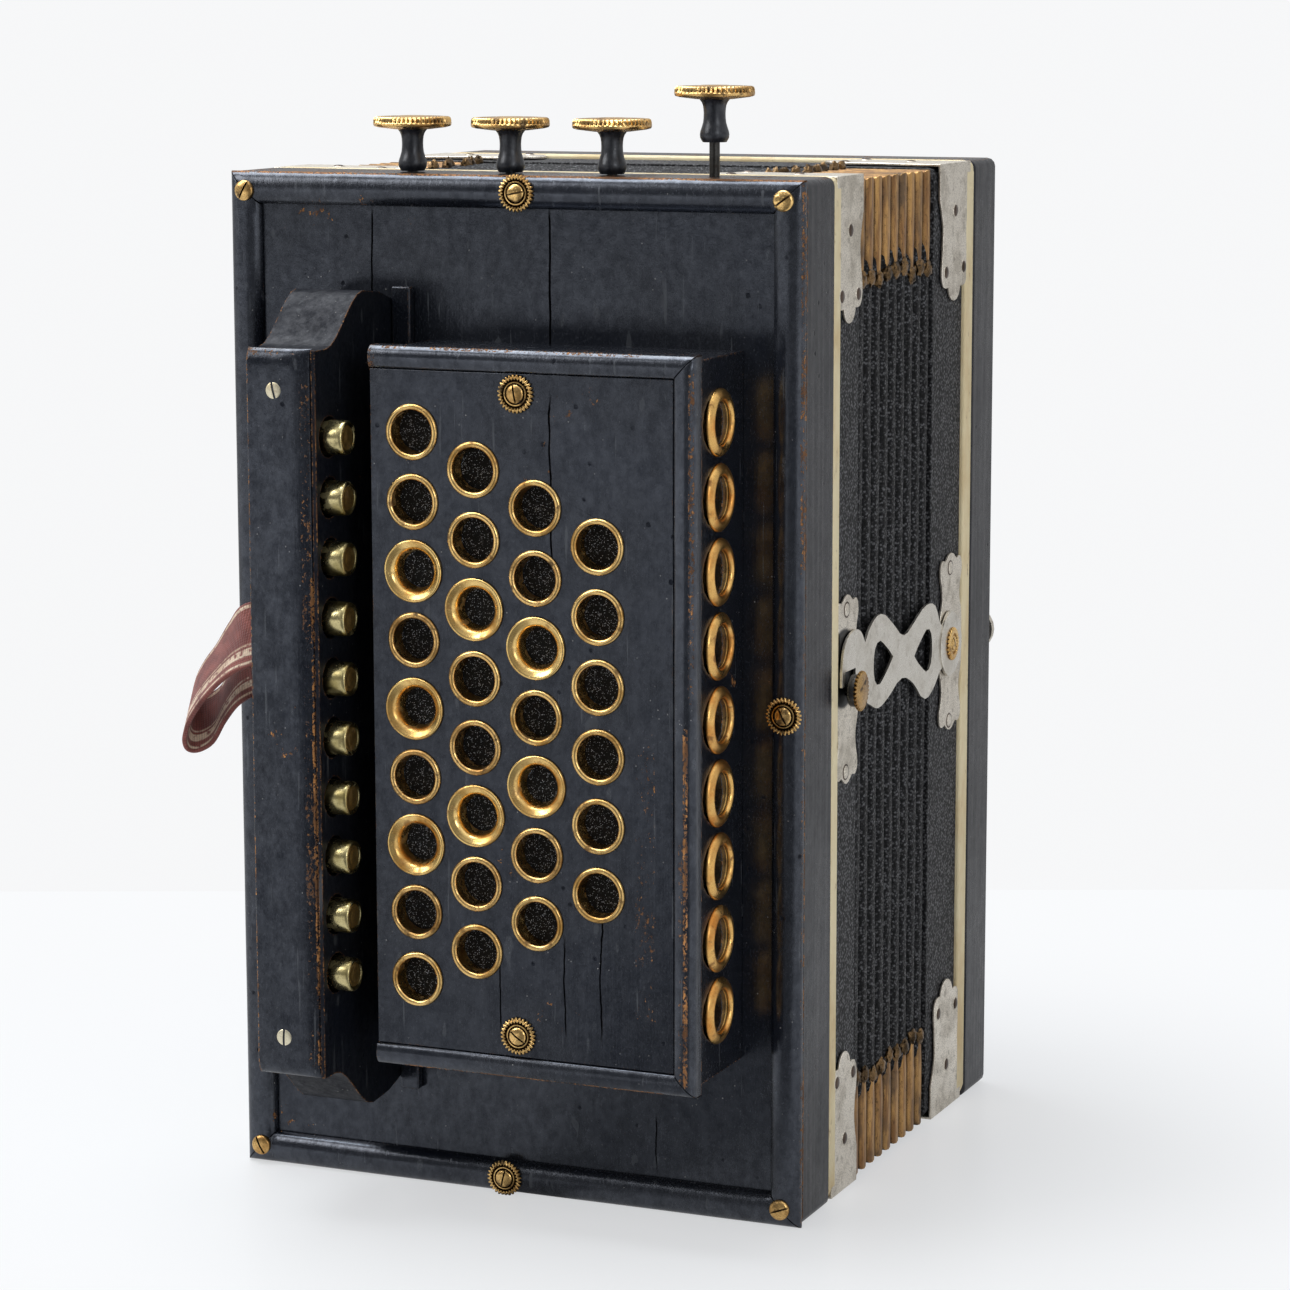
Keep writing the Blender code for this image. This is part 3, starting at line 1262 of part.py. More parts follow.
def make_air_key():
    """Build the air key: a button and stem with a pallet under the valve board."""
    button_low = BASS_CASE_Y[1] + GAP + AIR_TRAVEL
    pallet_high = PAN_Y[0] - GAP
    profile = [
        (0, button_low + AIR_BUTTON_THICKNESS),
        (AIR_BUTTON_RADIUS * 0.7, button_low + AIR_BUTTON_THICKNESS * 0.9),
        (AIR_BUTTON_RADIUS, button_low + AIR_BUTTON_THICKNESS * 0.5),
        (AIR_BUTTON_RADIUS, button_low),
        (AIR_STEM_RADIUS, button_low),
        (AIR_STEM_RADIUS, pallet_high),
        (AIR_PALLET_RADIUS, pallet_high),
        (AIR_PALLET_RADIUS, pallet_high - AIR_PALLET_THICKNESS),
        (0, pallet_high - AIR_PALLET_THICKNESS),
    ]
    key = turned("air_key", profile, (AIR_KEY_X, 0, AIR_KEY_Z), "Y", 16, EBONISED)
    set_origin(key, (AIR_KEY_X, button_low, AIR_KEY_Z))


def make_hand_strap():
    """Build the leather strap that arches over the back of the bass end."""
    back = BASS_CASE_Y[1] + GAP + HAND_STRAP_THICKNESS / 2
    low = HAND_STRAP_MARGIN
    high = CASE_HEIGHT - HAND_STRAP_MARGIN
    heights = [low]
    rises = [0]
    for i in range(HAND_STRAP_STEPS + 1):
        t = i / HAND_STRAP_STEPS
        heights.append(low + HAND_STRAP_END + (high - low - 2 * HAND_STRAP_END) * t)
        rises.append(HAND_STRAP_RISE * math.sin(math.pi * t) ** 1.4)
    heights.append(high)
    rises.append(0)
    middle = sum(HAND_STRAP_X) / 2
    half = (HAND_STRAP_X[1] - HAND_STRAP_X[0]) / 2
    centres = [Vector((middle, back + rise, z)) for z, rise in zip(heights, rises)]
    widths = [Vector((half, 0, 0))] * len(centres)
    strap = finish("hand_strap", strip_shape(centres, widths), BROWN_LEATHER)
    thicken(strap, HAND_STRAP_THICKNESS, 0)


def hang_bass_end():
    """Parent what moves with the bass end to an empty on the line that it slides along."""
    slide = joint_empty("bellows_slide", (0, BASS_FRAME_Y[0], CASE_HEIGHT / 2))
    moving = [piece for piece in PARTS.objects if piece.name.startswith("bass_")]
    for name in ("latch_plate", "latch_hook", "latch_pivot_screw", "air_key", "hand_strap"):
        moving.append(bpy.data.objects[name])
    hang_on(slide, *moving)


make_treble_case()
make_fingerboard()
make_treble_keys()
make_grille_box()
make_stops()
make_reed_blocks()
make_bellows()
make_bellows_frames()
make_latch()
make_thumb_strap()
make_bass_case()
make_bass_keys()
make_air_key()
make_hand_strap()
hang_bass_end()
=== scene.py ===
"""Looks, light and camera for the one-row button accordion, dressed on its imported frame.

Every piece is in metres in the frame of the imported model: X runs across the case, the
treble end faces -Y and the accordion stands on Z = 0.
"""

import math
import random

import bmesh
import bpy
from mathutils import Matrix, Vector
from mathutils import noise as wander


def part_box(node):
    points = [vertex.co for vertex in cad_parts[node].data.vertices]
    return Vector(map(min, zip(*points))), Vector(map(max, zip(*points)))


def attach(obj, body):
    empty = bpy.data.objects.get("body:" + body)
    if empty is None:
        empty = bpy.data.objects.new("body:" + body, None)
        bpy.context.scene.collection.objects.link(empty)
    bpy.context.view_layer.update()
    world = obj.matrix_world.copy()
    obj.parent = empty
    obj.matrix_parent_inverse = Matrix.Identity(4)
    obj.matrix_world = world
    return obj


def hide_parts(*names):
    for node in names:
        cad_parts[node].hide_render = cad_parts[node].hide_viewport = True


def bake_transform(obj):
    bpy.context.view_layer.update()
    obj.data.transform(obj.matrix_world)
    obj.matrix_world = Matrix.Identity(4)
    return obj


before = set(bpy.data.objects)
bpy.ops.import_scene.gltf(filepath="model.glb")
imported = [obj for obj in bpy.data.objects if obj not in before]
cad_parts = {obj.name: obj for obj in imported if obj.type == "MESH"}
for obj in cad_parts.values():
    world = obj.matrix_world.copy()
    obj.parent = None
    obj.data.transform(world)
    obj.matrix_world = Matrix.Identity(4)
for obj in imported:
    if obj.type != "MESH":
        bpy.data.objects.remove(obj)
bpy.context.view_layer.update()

MM = 0.001
HALF_WIDTH = 87 * MM
HEIGHT = 290 * MM
MIDDLE_Z = 145 * MM
COVER_FOOT = -10.75 * MM
GRILLE_FOOT = -44.45 * MM
PANEL_FACE = -48.95 * MM
TREBLE = "treble_end"
BASS = "bass_end"


# Camera

YAW = math.radians(23.03)
PITCH = math.radians(9.36)
ROLL = math.radians(0.09)
camera_data = bpy.data.cameras.new("camera")
camera_data.sensor_width = 36
camera_data.lens = 109.5
camera = bpy.data.objects.new("camera", camera_data)
bpy.context.scene.collection.objects.link(camera)
CAMERA_HEIGHT = 0.338
camera.location = (0.459, -0.99625, CAMERA_HEIGHT)
camera.rotation_euler = (math.pi / 2 - PITCH, ROLL, YAW)
bpy.context.scene.camera = camera


# Node helpers

def add(tree, kind, *inputs, **settings):
    """Add a node, give its sockets in order a link or a value, and return it."""
    made = tree.nodes.new("ShaderNode" + kind)
    for key, value in settings.items():
        setattr(made, key, value)
    for socket, value in zip(made.inputs, inputs):
        if isinstance(value, bpy.types.NodeSocket):
            tree.links.new(value, socket)
        elif value is not None:
            socket.default_value = value
    return made


def maths(tree, operation, first, second=None, clamp=False):
    """Return the result of a maths node."""
    return add(tree, "Math", first, second, operation=operation, use_clamp=clamp).outputs[0]


def times(tree, first, second, clamp=False):
    """Return a product."""
    return maths(tree, "MULTIPLY", first, second, clamp)


def plus(tree, first, second):
    """Return a sum."""
    return maths(tree, "ADD", first, second)


def minus(tree, first, second, clamp=False):
    """Return a difference."""
    return maths(tree, "SUBTRACT", first, second, clamp)


def largest(tree, first, second):
    """Return the larger of two values."""
    return maths(tree, "MAXIMUM", first, second)


def between(tree, value, low, high, to_low=0.0, to_high=1.0):
    """Return value carried smoothly from low..high to to_low..to_high."""
    made = add(tree, "MapRange", value, low, high, to_low, to_high)
    made.interpolation_type = "SMOOTHSTEP"
    return made.outputs[0]


def blend_colours(tree, factor, first, second, how="MIX"):
    """Return two colours mixed by a factor."""
    made = tree.nodes.new("ShaderNodeMix")
    made.data_type = "RGBA"
    made.blend_type = how
    for index, value in ((0, factor), (6, first), (7, second)):
        if isinstance(value, bpy.types.NodeSocket):
            tree.links.new(value, made.inputs[index])
        elif index == 0:
            made.inputs[index].default_value = value
        else:
            made.inputs[index].default_value = (*value, 1)
    return made.outputs[2]


def place(tree, scale=(1, 1, 1)):
    """Return the piece's own coordinates, stretched."""
    found = add(tree, "TexCoord").outputs["Object"]
    return add(tree, "VectorMath", found, scale, operation="MULTIPLY").outputs[0]


def noise(tree, scale, stretch=(1, 1, 1), detail=3.0, rough=0.55, shift=0.0):
    """Return grey noise; scale is features to the metre."""
    vector = place(tree, stretch)
    if shift:
        vector = add(tree, "VectorMath", vector, (shift, shift * 0.7, -shift)).outputs[0]
    made = add(tree, "TexNoise", vector)
    made.inputs["Scale"].default_value = scale
    made.inputs["Detail"].default_value = detail
    made.inputs["Roughness"].default_value = rough
    return made.outputs["Fac"]


def cells(tree, scale, output="Distance"):
    """Return one output of a cell texture."""
    made = add(tree, "TexVoronoi", place(tree))
    made.inputs["Scale"].default_value = scale
    return made.outputs[output]


def in_mm(*points):
    """Return points given in millimetres as points in metres."""
    return [tuple(value * MM for value in point) for point in points]


def new_material(name):
    """Make an empty material and return it with its node tree and shader."""
    material = bpy.data.materials.new(name)
    material.use_nodes = True
    tree = material.node_tree
    return material, tree, tree.nodes["Principled BSDF"]


def bumped(tree, shader, height, distance, strength=1.0, under=None):
    """Add a bump to the shader's normal and return it."""
    made = tree.nodes.new("ShaderNodeBump")
    made.inputs["Strength"].default_value = strength
    made.inputs["Distance"].default_value = distance
    tree.links.new(height, made.inputs["Height"])
    if under is not None:
        tree.links.new(under, made.inputs["Normal"])
    tree.links.new(made.outputs[0], shader.inputs["Normal"])
    return made.outputs[0]


def drive(tree, shader, **sockets):
    """Link or set the shader's sockets by name, with _ for a blank."""
    for key, value in sockets.items():
        socket = shader.inputs[key.replace("_", " ")]
        if isinstance(value, bpy.types.NodeSocket):
            tree.links.new(value, socket)
        elif isinstance(value, tuple):
            socket.default_value = (*value, 1)
        else:
            socket.default_value = value


def edge_mask(tree, radius, low=0.02, high=0.25):
    """Return where the surface turns a convex edge within the radius."""
    rounded = add(tree, "Bevel", radius, samples=4).outputs[0]
    normal = tree.nodes.new("ShaderNodeNewGeometry").outputs["Normal"]
    dot = add(tree, "VectorMath", rounded, normal, operation="DOT_PRODUCT").outputs["Value"]
    turned = between(tree, minus(tree, 1.0, dot), low, high)
    open_air = add(tree, "AmbientOcclusion", samples=4)
    open_air.inputs["Distance"].default_value = radius * 2
    return times(tree, turned, between(tree, open_air.outputs["AO"], 0.72, 0.92))


def line_mask(tree, axis, value, half_width, wobble=0.0, span_axis=None, span=None):
    """Return a thin line at one coordinate, over a span of another."""
    split = add(tree, "SeparateXYZ", place(tree))
    along = split.outputs[axis]
    if wobble:
        drift = noise(tree, 45, (1, 1, 1), 4, 0.6, shift=value * 37)
        along = plus(tree, along, times(tree, minus(tree, drift, 0.5), wobble))
    away = maths(tree, "ABSOLUTE", minus(tree, along, value))
    mask = between(tree, away, half_width, half_width * 0.6)
    if span is not None:
        other = split.outputs[span_axis]
        fade = 6 * MM
        mask = times(tree, mask, between(tree, other, span[0], span[0] + fade))
        mask = times(tree, mask, between(tree, other, span[1], span[1] - fade))
    return mask


# Materials

LACQUER = (0.0050, 0.0065, 0.0110)


def lacquer(
    name,
    wear=0.5,
    chips=0.5,
    cracks=(),
    mitres=None,
    gloss=0.15,
    radius=0.7 * MM,
    rubbed=(),
    shine=0.68,
    tint=(0.80, 0.86, 1.0),
    streaks=0.0,
    uneven=0.30,
):
    """Old black shellac over wood: fine grain, scratches, worn edges, chips and cracks."""
    material, tree, shader = new_material(name)
    stretch = (1, 1, 0.045)
    grain = noise(tree, 1500, stretch, 3, 0.6)
    waves = noise(tree, 26, stretch, 2, 0.5)
    pebble = noise(tree, 480, (1, 1, 1), 5, 0.72, 9.4)
    cloud = noise(tree, 22, (1, 1, 1), 4, 0.6)
    dust = noise(tree, 1900, (1, 1, 0.5), 3, 0.7, 4.6)
    scratches = between(tree, noise(tree, 620, (1, 1, 0.06), 2, 0.5, 3.1), 0.66, 0.74)
    cross = between(tree, noise(tree, 300, (1, 1, 0.35), 1, 0.4, 7.7), 0.715, 0.765)
    scratches = largest(tree, scratches, times(tree, cross, 0.6))
    specks = between(tree, cells(tree, 420), 0.10, 0.05)
    specks = times(tree, specks, between(tree, noise(tree, 60, shift=1.3), 0.50, 0.64))
    dents = between(tree, cells(tree, 150), 0.13, 0.05)
    dents = times(tree, dents, between(tree, noise(tree, 24, shift=6.3), 0.50, 0.60))

    edges = edge_mask(tree, radius, 0.012, 0.10)
    patchy = noise(tree, 70, (1, 1, 1), 3, 0.6, 2.2)
    ragged = noise(tree, 1100, (1, 1, 0.7), 4, 0.75, 6.6)
    mixed = plus(tree, times(tree, patchy, 0.35), times(tree, ragged, 0.65))
    level = 0.585 - 0.13 * wear
    worn = times(tree, edges, between(tree, mixed, level, level + 0.035))
    for axis, value, reach, amount, span_axis, span in rubbed:
        near = line_mask(tree, axis, value, reach, 0.4 * reach, span_axis, span)
        limit = minus(tree, 0.71 - 0.06 * amount, times(tree, near, 0.12 + 0.12 * amount))
        torn = times(tree, minus(tree, mixed, limit), 40, True)
        worn = largest(tree, worn, times(tree, torn, maths(tree, "GREATER_THAN", near, 0.02)))
    broken = times(tree, noise(tree, 330, (1, 1, 0.8), 5, 0.75, 5.5), noise(tree, 38, shift=8.8))
    chip_level = 0.452 - 0.04 * chips
    worn = largest(tree, worn, between(tree, broken, chip_level, chip_level + 0.008))

    fresh = blend_colours(tree, between(tree, cloud, 0.35, 0.7), LACQUER, (0.0090, 0.0100, 0.0130))
    fresh = blend_colours(tree, between(tree, dust, 0.48, 0.72), fresh, (0.021, 0.023, 0.029))
    fresh = blend_colours(tree, times(tree, scratches, 0.24), fresh, (0.18, 0.19, 0.20))
    fresh = blend_colours(tree, times(tree, specks, 0.65), fresh, (0.40, 0.39, 0.37))
    if streaks:
        lines = between(tree, noise(tree, 520, (1, 1, 0.012), 3, 0.7, 1.1), 0.44, 0.64)
        fresh = blend_colours(tree, times(tree, lines, streaks), fresh, (0.042, 0.041, 0.045))
    shade = noise(tree, 1300, stretch, 4, 0.7, 4.0)
    wood = blend_colours(tree, between(tree, shade, 0.36, 0.62), (0.66, 0.30, 0.095), (0.085, 0.034, 0.014))
    wood = blend_colours(tree, between(tree, patchy, 0.46, 0.66), wood, (0.150, 0.070, 0.030))
    colour = blend_colours(tree, times(tree, worn, 0.95), fresh, wood)
    height = times(tree, largest(tree, worn, dents), -0.5)
    haze = noise(tree, 250, (1, 1, 0.6), 6, 0.82, 12.3)
    gleam = times(tree, between(tree, haze, 0.32, 0.68, 1 - uneven, 1 + uneven), shine)
    gleam = times(tree, gleam, between(tree, pebble, 0.36, 0.64, 1 - 0.4 * uneven, 1 + 0.4 * uneven))
    gleam = times(tree, gleam, minus(tree, 1.0, times(tree, worn, 0.75)))
    gleam = times(tree, gleam, minus(tree, 1.0, times(tree, dents, 0.8)))
    for axis, value, half_width, wobble, span_axis, span in cracks:
        mask = line_mask(tree, axis, value, half_width, wobble, span_axis, span)
        colour = blend_colours(tree, times(tree, mask, 0.9), colour, (0.001, 0.001, 0.001))
        height = minus(tree, height, mask)
        gleam = times(tree, gleam, minus(tree, 1.0, mask))
    if mitres is not None:
        left, right, low, high, width = mitres
        split = add(tree, "SeparateXYZ", place(tree))
        from_left = minus(tree, split.outputs[0], left)
        from_right = minus(tree, right, split.outputs[0])
        across = maths(tree, "MINIMUM", from_left, from_right)
        along = maths(
            tree,
            "MINIMUM",
            minus(tree, split.outputs[2], low),
            minus(tree, high, split.outputs[2]),
        )
        joint = between(tree, maths(tree, "ABSOLUTE", minus(tree, across, along)), 0.3 * MM, 0.1 * MM)
        joint = times(tree, joint, maths(tree, "LESS_THAN", across, width))
        colour = blend_colours(tree, times(tree, joint, 0.85), colour, (0.001, 0.001, 0.001))
        height = minus(tree, height, joint)
        gleam = times(tree, gleam, minus(tree, 1.0, joint))

    rough = between(tree, cloud, 0.3, 0.75, gloss, gloss + 0.12)
    rough = plus(tree, rough, times(tree, between(tree, dust, 0.4, 0.8), 0.10))
    rough = plus(tree, rough, times(tree, scratches, 0.12))
    rough = largest(tree, rough, times(tree, worn, 0.6))
    first = bumped(tree, shader, waves, 0.5 * MM, 0.28)
    first = bumped(tree, shader, pebble, 0.10 * MM, 0.55, first)
    first = bumped(tree, shader, grain, 0.06 * MM, 0.5, first)
    bumped(tree, shader, height, 0.25 * MM, 0.8, first)
    drive(tree, shader, Base_Color=colour, Roughness=rough, IOR=1.52, Specular_IOR_Level=gleam)
    drive(tree, shader, Specular_Tint=tint)
    return material


def metal(
    name, base, dark, stain, rough,
    stains=0.5, pits=0.4, scratch=0.3, grime_and_shade=0.0, grime_and_shade_reach=1.0 * MM, shade_patch=None,
):
    """Old metal: a base tone, darker tarnish, stains, fine pits, and grime with painted shade in its
    hollows; a shade patch is a painted dark spot.
    """
    material, tree, shader = new_material(name)
    cloud = noise(tree, 110, (1, 1, 1), 5, 0.62)
    fine = noise(tree, 900, (1, 1, 1), 3, 0.6)
    brush = noise(tree, 1500, (0.12, 1, 1), 2, 0.5)
    colour = blend_colours(tree, between(tree, cloud, 0.42, 0.70), base, dark)
    spots = times(tree, between(tree, noise(tree, 300, shift=3.7), 0.56, 0.70), stains)
    colour = blend_colours(tree, spots, colour, stain)
    mottle = noise(tree, 2300, (1, 1, 1), 3, 0.75, 8.1)
    colour = blend_colours(tree, times(tree, between(tree, mottle, 0.46, 0.62), pits * 0.6), colour, stain)
    holes = between(tree, cells(tree, 1150), 0.20, 0.08)
    holes = times(tree, holes, between(tree, noise(tree, 170, shift=5.9), 0.44, 0.56))
    holes = times(tree, holes, pits)
    colour = blend_colours(tree, holes, colour, stain)
    # Grime and painted shade: the colour darkens to the stain tone where ambient occlusion finds a hollow.
    if grime_and_shade:
        open_air = add(tree, "AmbientOcclusion", samples=6)
        open_air.inputs["Distance"].default_value = grime_and_shade_reach
        hollow = between(tree, open_air.outputs["AO"], 0.88, 0.45)
        colour = blend_colours(tree, times(tree, hollow, grime_and_shade), colour, stain)
    # Painted shade: a dark round spot on the metal, where it lies in shade.
    if shade_patch is not None:
        centre, reach = shade_patch
        away = add(tree, "VectorMath", place(tree), centre, operation="DISTANCE").outputs["Value"]
        away = plus(tree, away, times(tree, cloud, 1.5 * MM))
        in_shade_patch = between(tree, away, reach + 1.2 * MM, reach)
        colour = blend_colours(tree, in_shade_patch, colour, (0.012, 0.012, 0.012))
    roughness = between(tree, cloud, 0.3, 0.75, rough, rough + 0.16)
    roughness = plus(tree, roughness, times(tree, largest(tree, spots, holes), 0.25))
    first = bumped(tree, shader, brush, 0.03 * MM, scratch)
    second = bumped(tree, shader, fine, 0.05 * MM, 0.45, first)
    bumped(tree, shader, times(tree, holes, -1.0), 0.12 * MM, 0.8, second)
    metallic = minus(tree, 1.0, times(tree, largest(tree, spots, holes), 0.45))
    drive(tree, shader, Base_Color=colour, Roughness=roughness, Metallic=metallic)
    return material


def black_cloth(name, crinkle=0.0):
    """Grained bookcloth with painted light and shade on its grain and painted shade in its creases, slightly
    greyed on what stands proud.
    """
    material, tree, shader = new_material(name)
    grains = cells(tree, 1150)
    fine = noise(tree, 2600, detail=2)
    creases = noise(tree, 620, (1, 1, 1.6), 5, 0.75, 3.3)
    worn = between(tree, noise(tree, 130, (1, 1, 0.35), 4, 0.65), 0.5, 0.75)
    # Painted light and shade on the grain: pale at the cell centres, near black towards their rims.
    pale, painted_grain_shade = (0.150, 0.151, 0.160), (0.010, 0.010, 0.012)
    tone = blend_colours(tree, between(tree, grains, 0.18, 0.62), pale, painted_grain_shade)
    tone = blend_colours(tree, times(tree, worn, 0.3), tone, (0.085, 0.085, 0.088))
    # Painted shade in the creases: the cloth turns near black where the crease noise runs low.
    painted_crease_shade = between(tree, creases, 0.56, 0.44, 0.0, 0.9 if crinkle else 0.5)
    tone = blend_colours(tree, painted_crease_shade, tone, (0.003, 0.003, 0.0035))
    fluff = between(tree, noise(tree, 1700, (1, 1, 1), 3, 0.7, 2.6), 0.66, 0.74)
    fluff = times(tree, fluff, between(tree, noise(tree, 75, shift=6.1), 0.46, 0.62))
    tone = blend_colours(tree, times(tree, fluff, 0.6), tone, (0.26, 0.26, 0.25))
    edges = edge_mask(tree, 0.7 * MM, 0.01, 0.2)
    tone = blend_colours(tree, times(tree, edges, 0.5), tone, (0.12, 0.12, 0.12))
    first = bumped(tree, shader, grains, 0.28 * MM, 0.95)
    if crinkle:
        first = bumped(tree, shader, creases, 0.7 * MM, crinkle, first)
    bumped(tree, shader, fine, 0.05 * MM, 0.4, first)
    rough = between(tree, grains, 0.1, 0.6, 0.40, 0.62)
    drive(tree, shader, Base_Color=tone, Roughness=rough, Specular_IOR_Level=0.22)
    return material


def leather(name, base, dark, stain, rough=0.6, grain=900):
    """Leather or paper with a fine grain, stains and rubbed places."""
    material, tree, shader = new_material(name)
    grains = cells(tree, grain)
    blotch = noise(tree, 60, (1, 1, 0.5), 5, 0.65)
    tone = blend_colours(tree, between(tree, blotch, 0.40, 0.72), base, dark)
    spots = between(tree, noise(tree, 260, (1, 1, 0.5), 4, 0.7, 2.9), 0.60, 0.74)
    tone = blend_colours(tree, times(tree, spots, 0.75), tone, stain)
    first = bumped(tree, shader, grains, 0.10 * MM, 0.45)
    bumped(tree, shader, blotch, 0.6 * MM, 0.35, first)
    drive(tree, shader, Base_Color=tone, Roughness=between(tree, blotch, 0.3, 0.7, rough, rough + 0.15))
    return material


def gilt_paper():
    """Gilt corner clips of the bellows, browned and rubbed, with painted shade in their hollows and a
    painted highlight along their edges.
    """
    material, tree, shader = new_material("gilt_paper")
    streaks = noise(tree, 240, (1, 1.6, 0.22), 5, 0.68)
    patches = noise(tree, 75, (1, 1, 0.6), 4, 0.6, 1.9)
    spots = noise(tree, 900, (1, 1, 0.6), 4, 0.75, 5.2)
    gilt, brown = (0.60, 0.34, 0.115), (0.26, 0.125, 0.042)
    tone = blend_colours(tree, between(tree, streaks, 0.36, 0.64), gilt, brown)
    tone = blend_colours(tree, between(tree, patches, 0.46, 0.68), tone, (0.165, 0.105, 0.060))
    tone = blend_colours(tree, between(tree, spots, 0.54, 0.68, 0.0, 0.7), tone, (0.055, 0.028, 0.013))
    # Painted shade: the clips darken to near black in their hollows and in the gaps between them.
    open_air = add(tree, "AmbientOcclusion", samples=6)
    open_air.inputs["Distance"].default_value = 3.2 * MM
    hollow = between(tree, open_air.outputs["AO"], 0.84, 0.56)
    tone = blend_colours(tree, hollow, tone, (0.010, 0.005, 0.003))
    # Painted highlight: a bright gold line along the clip edges.
    edges = edge_mask(tree, 0.45 * MM, 0.02, 0.25)
    tone = blend_colours(tree, times(tree, edges, 0.8), tone, (0.95, 0.60, 0.20))
    bumped(tree, shader, streaks, 0.22 * MM, 0.6)
    rough = between(tree, patches, 0.4, 0.7, 0.42, 0.62)
    drive(tree, shader, Base_Color=tone, Roughness=rough, Metallic=0.55)
    return material


def bare_wood():
    """Pale spruce inside the case."""
    material, tree, shader = new_material("bare_spruce")
    rings = noise(tree, 260, (1, 1, 0.03), 4, 0.6)
    fine = noise(tree, 1400, (1, 1, 0.04), 3, 0.6)
    tone = blend_colours(tree, between(tree, rings, 0.35, 0.68), (0.47, 0.31, 0.16), (0.30, 0.17, 0.075))
    tone = blend_colours(tree, between(tree, fine, 0.5, 0.8), tone, (0.20, 0.11, 0.05))
    bumped(tree, shader, fine, 0.08 * MM, 0.5)
    drive(tree, shader, Base_Color=tone, Roughness=between(tree, rings, 0.3, 0.7, 0.55, 0.75))
    return material


WIRE_PITCH = 0.55 * MM
PAINTED_GLINT_SCALE = 3700


def grille_cloth():
    """Fine black wire gauze with painted glints: stray bright dots in its colour."""
    material, tree, shader = new_material("grille_cloth")
    split = add(tree, "SeparateXYZ", place(tree))
    waves = []
    for output in split.outputs:
        turn = times(tree, output, 2 * math.pi / WIRE_PITCH)
        waves.append(maths(tree, "ABSOLUTE", maths(tree, "SINE", turn)))
    weave = times(tree, largest(tree, waves[0], waves[1]), waves[2])
    # Painted glints: scattered bright dots stand in for light caught on the wires.
    chosen = add(tree, "SeparateColor", cells(tree, PAINTED_GLINT_SCALE, "Color")).outputs[0]
    painted_glint = times(tree, between(tree, chosen, 0.70, 0.94), between(tree, cells(tree, PAINTED_GLINT_SCALE), 0.44, 0.26))
    tone = blend_colours(tree, weave, (0.0006, 0.0008, 0.0011), (0.007, 0.0088, 0.0110))
    tone = blend_colours(tree, painted_glint, tone, (0.80, 0.86, 0.95))
    bumped(tree, shader, weave, 0.15 * MM, 0.8)
    rough = between(tree, painted_glint, 0.0, 1.0, 0.72, 0.30)
    drive(tree, shader, Base_Color=tone, Roughness=rough, Specular_IOR_Level=0.25)
    return material


def woven_band():
    """Maroon webbing with cream lines along both edges, from the band's own UV."""
    material, tree, shader = new_material("woven_band")
    split = add(tree, "SeparateXYZ", add(tree, "TexCoord").outputs["UV"])
    across, along = split.outputs[0], split.outputs[1]

    def stripe(low, high):
        rise = between(tree, across, low - 0.012, low + 0.012)
        fall = between(tree, across, high + 0.012, high - 0.012)
        return times(tree, rise, fall)

    cream = stripe(0.045, 0.085)
    for low, high in ((0.17, 0.285), (0.325, 0.350), (0.905, 0.955)):
        cream = largest(tree, cream, stripe(low, high))
    slant = plus(tree, along, times(tree, across, 5 * MM))
    weft = maths(tree, "ABSOLUTE", maths(tree, "SINE", times(tree, slant, math.pi / (0.85 * MM))))
    warp = maths(tree, "ABSOLUTE", maths(tree, "SINE", times(tree, across, math.pi * 24)))
    weave = times(tree, plus(tree, 0.3, weft), plus(tree, 0.45, times(tree, warp, 0.4)))
    cloud = noise(tree, 160, detail=5)
    faded = between(tree, cloud, 0.35, 0.7)
    maroon = blend_colours(tree, faded, (0.300, 0.090, 0.072), (0.170, 0.045, 0.038))
    pale = blend_colours(tree, faded, (0.84, 0.68, 0.52), (0.62, 0.44, 0.30))
    broken = between(tree, noise(tree, 700, detail=2, shift=4.4), 0.30, 0.52)
    tone = blend_colours(tree, times(tree, cream, broken), maroon, pale)
    tone = blend_colours(tree, minus(tree, 0.8, weave, True), tone, (0.45, 0.42, 0.42), "MULTIPLY")
    bumped(tree, shader, weave, 0.25 * MM, 0.9)
    drive(tree, shader, Base_Color=tone, Roughness=0.85, Sheen_Weight=0.15, Sheen_Roughness=0.5)
    return material


BRASS = metal(
    "brass_bright", (0.98, 0.66, 0.26), (0.55, 0.30, 0.08), (0.09, 0.032, 0.010), 0.17,
    stains=0.75, pits=0.4, scratch=0.3, grime_and_shade=0.85, grime_and_shade_reach=1.8 * MM,
)
GOLD = metal(
    "brass_flares", (1.0, 0.70, 0.27), (0.70, 0.38, 0.10), (0.24, 0.09, 0.025), 0.18,
    stains=0.6, pits=0.3, scratch=0.3, grime_and_shade=0.85, grime_and_shade_reach=2.6 * MM,
)
AGED_BRASS = metal(
    "brass_aged", (0.98, 0.64, 0.25), (0.46, 0.25, 0.08), (0.025, 0.012, 0.006), 0.19,
    stains=0.85, pits=0.6, scratch=0.4, grime_and_shade=1.0, grime_and_shade_reach=1.4 * MM,
)
DULL_BRASS = metal(
    "brass_dull", (0.56, 0.34, 0.12), (0.24, 0.12, 0.04), (0.025, 0.012, 0.006), 0.26,
    stains=0.9, pits=0.7, scratch=0.4, grime_and_shade=1.0, grime_and_shade_reach=1.8 * MM,
)
GREEN_BRASS = metal(
    "brass_buttons", (0.72, 0.62, 0.32), (0.42, 0.34, 0.13), (0.08, 0.055, 0.02), 0.20,
    stains=0.5, pits=0.4,
)
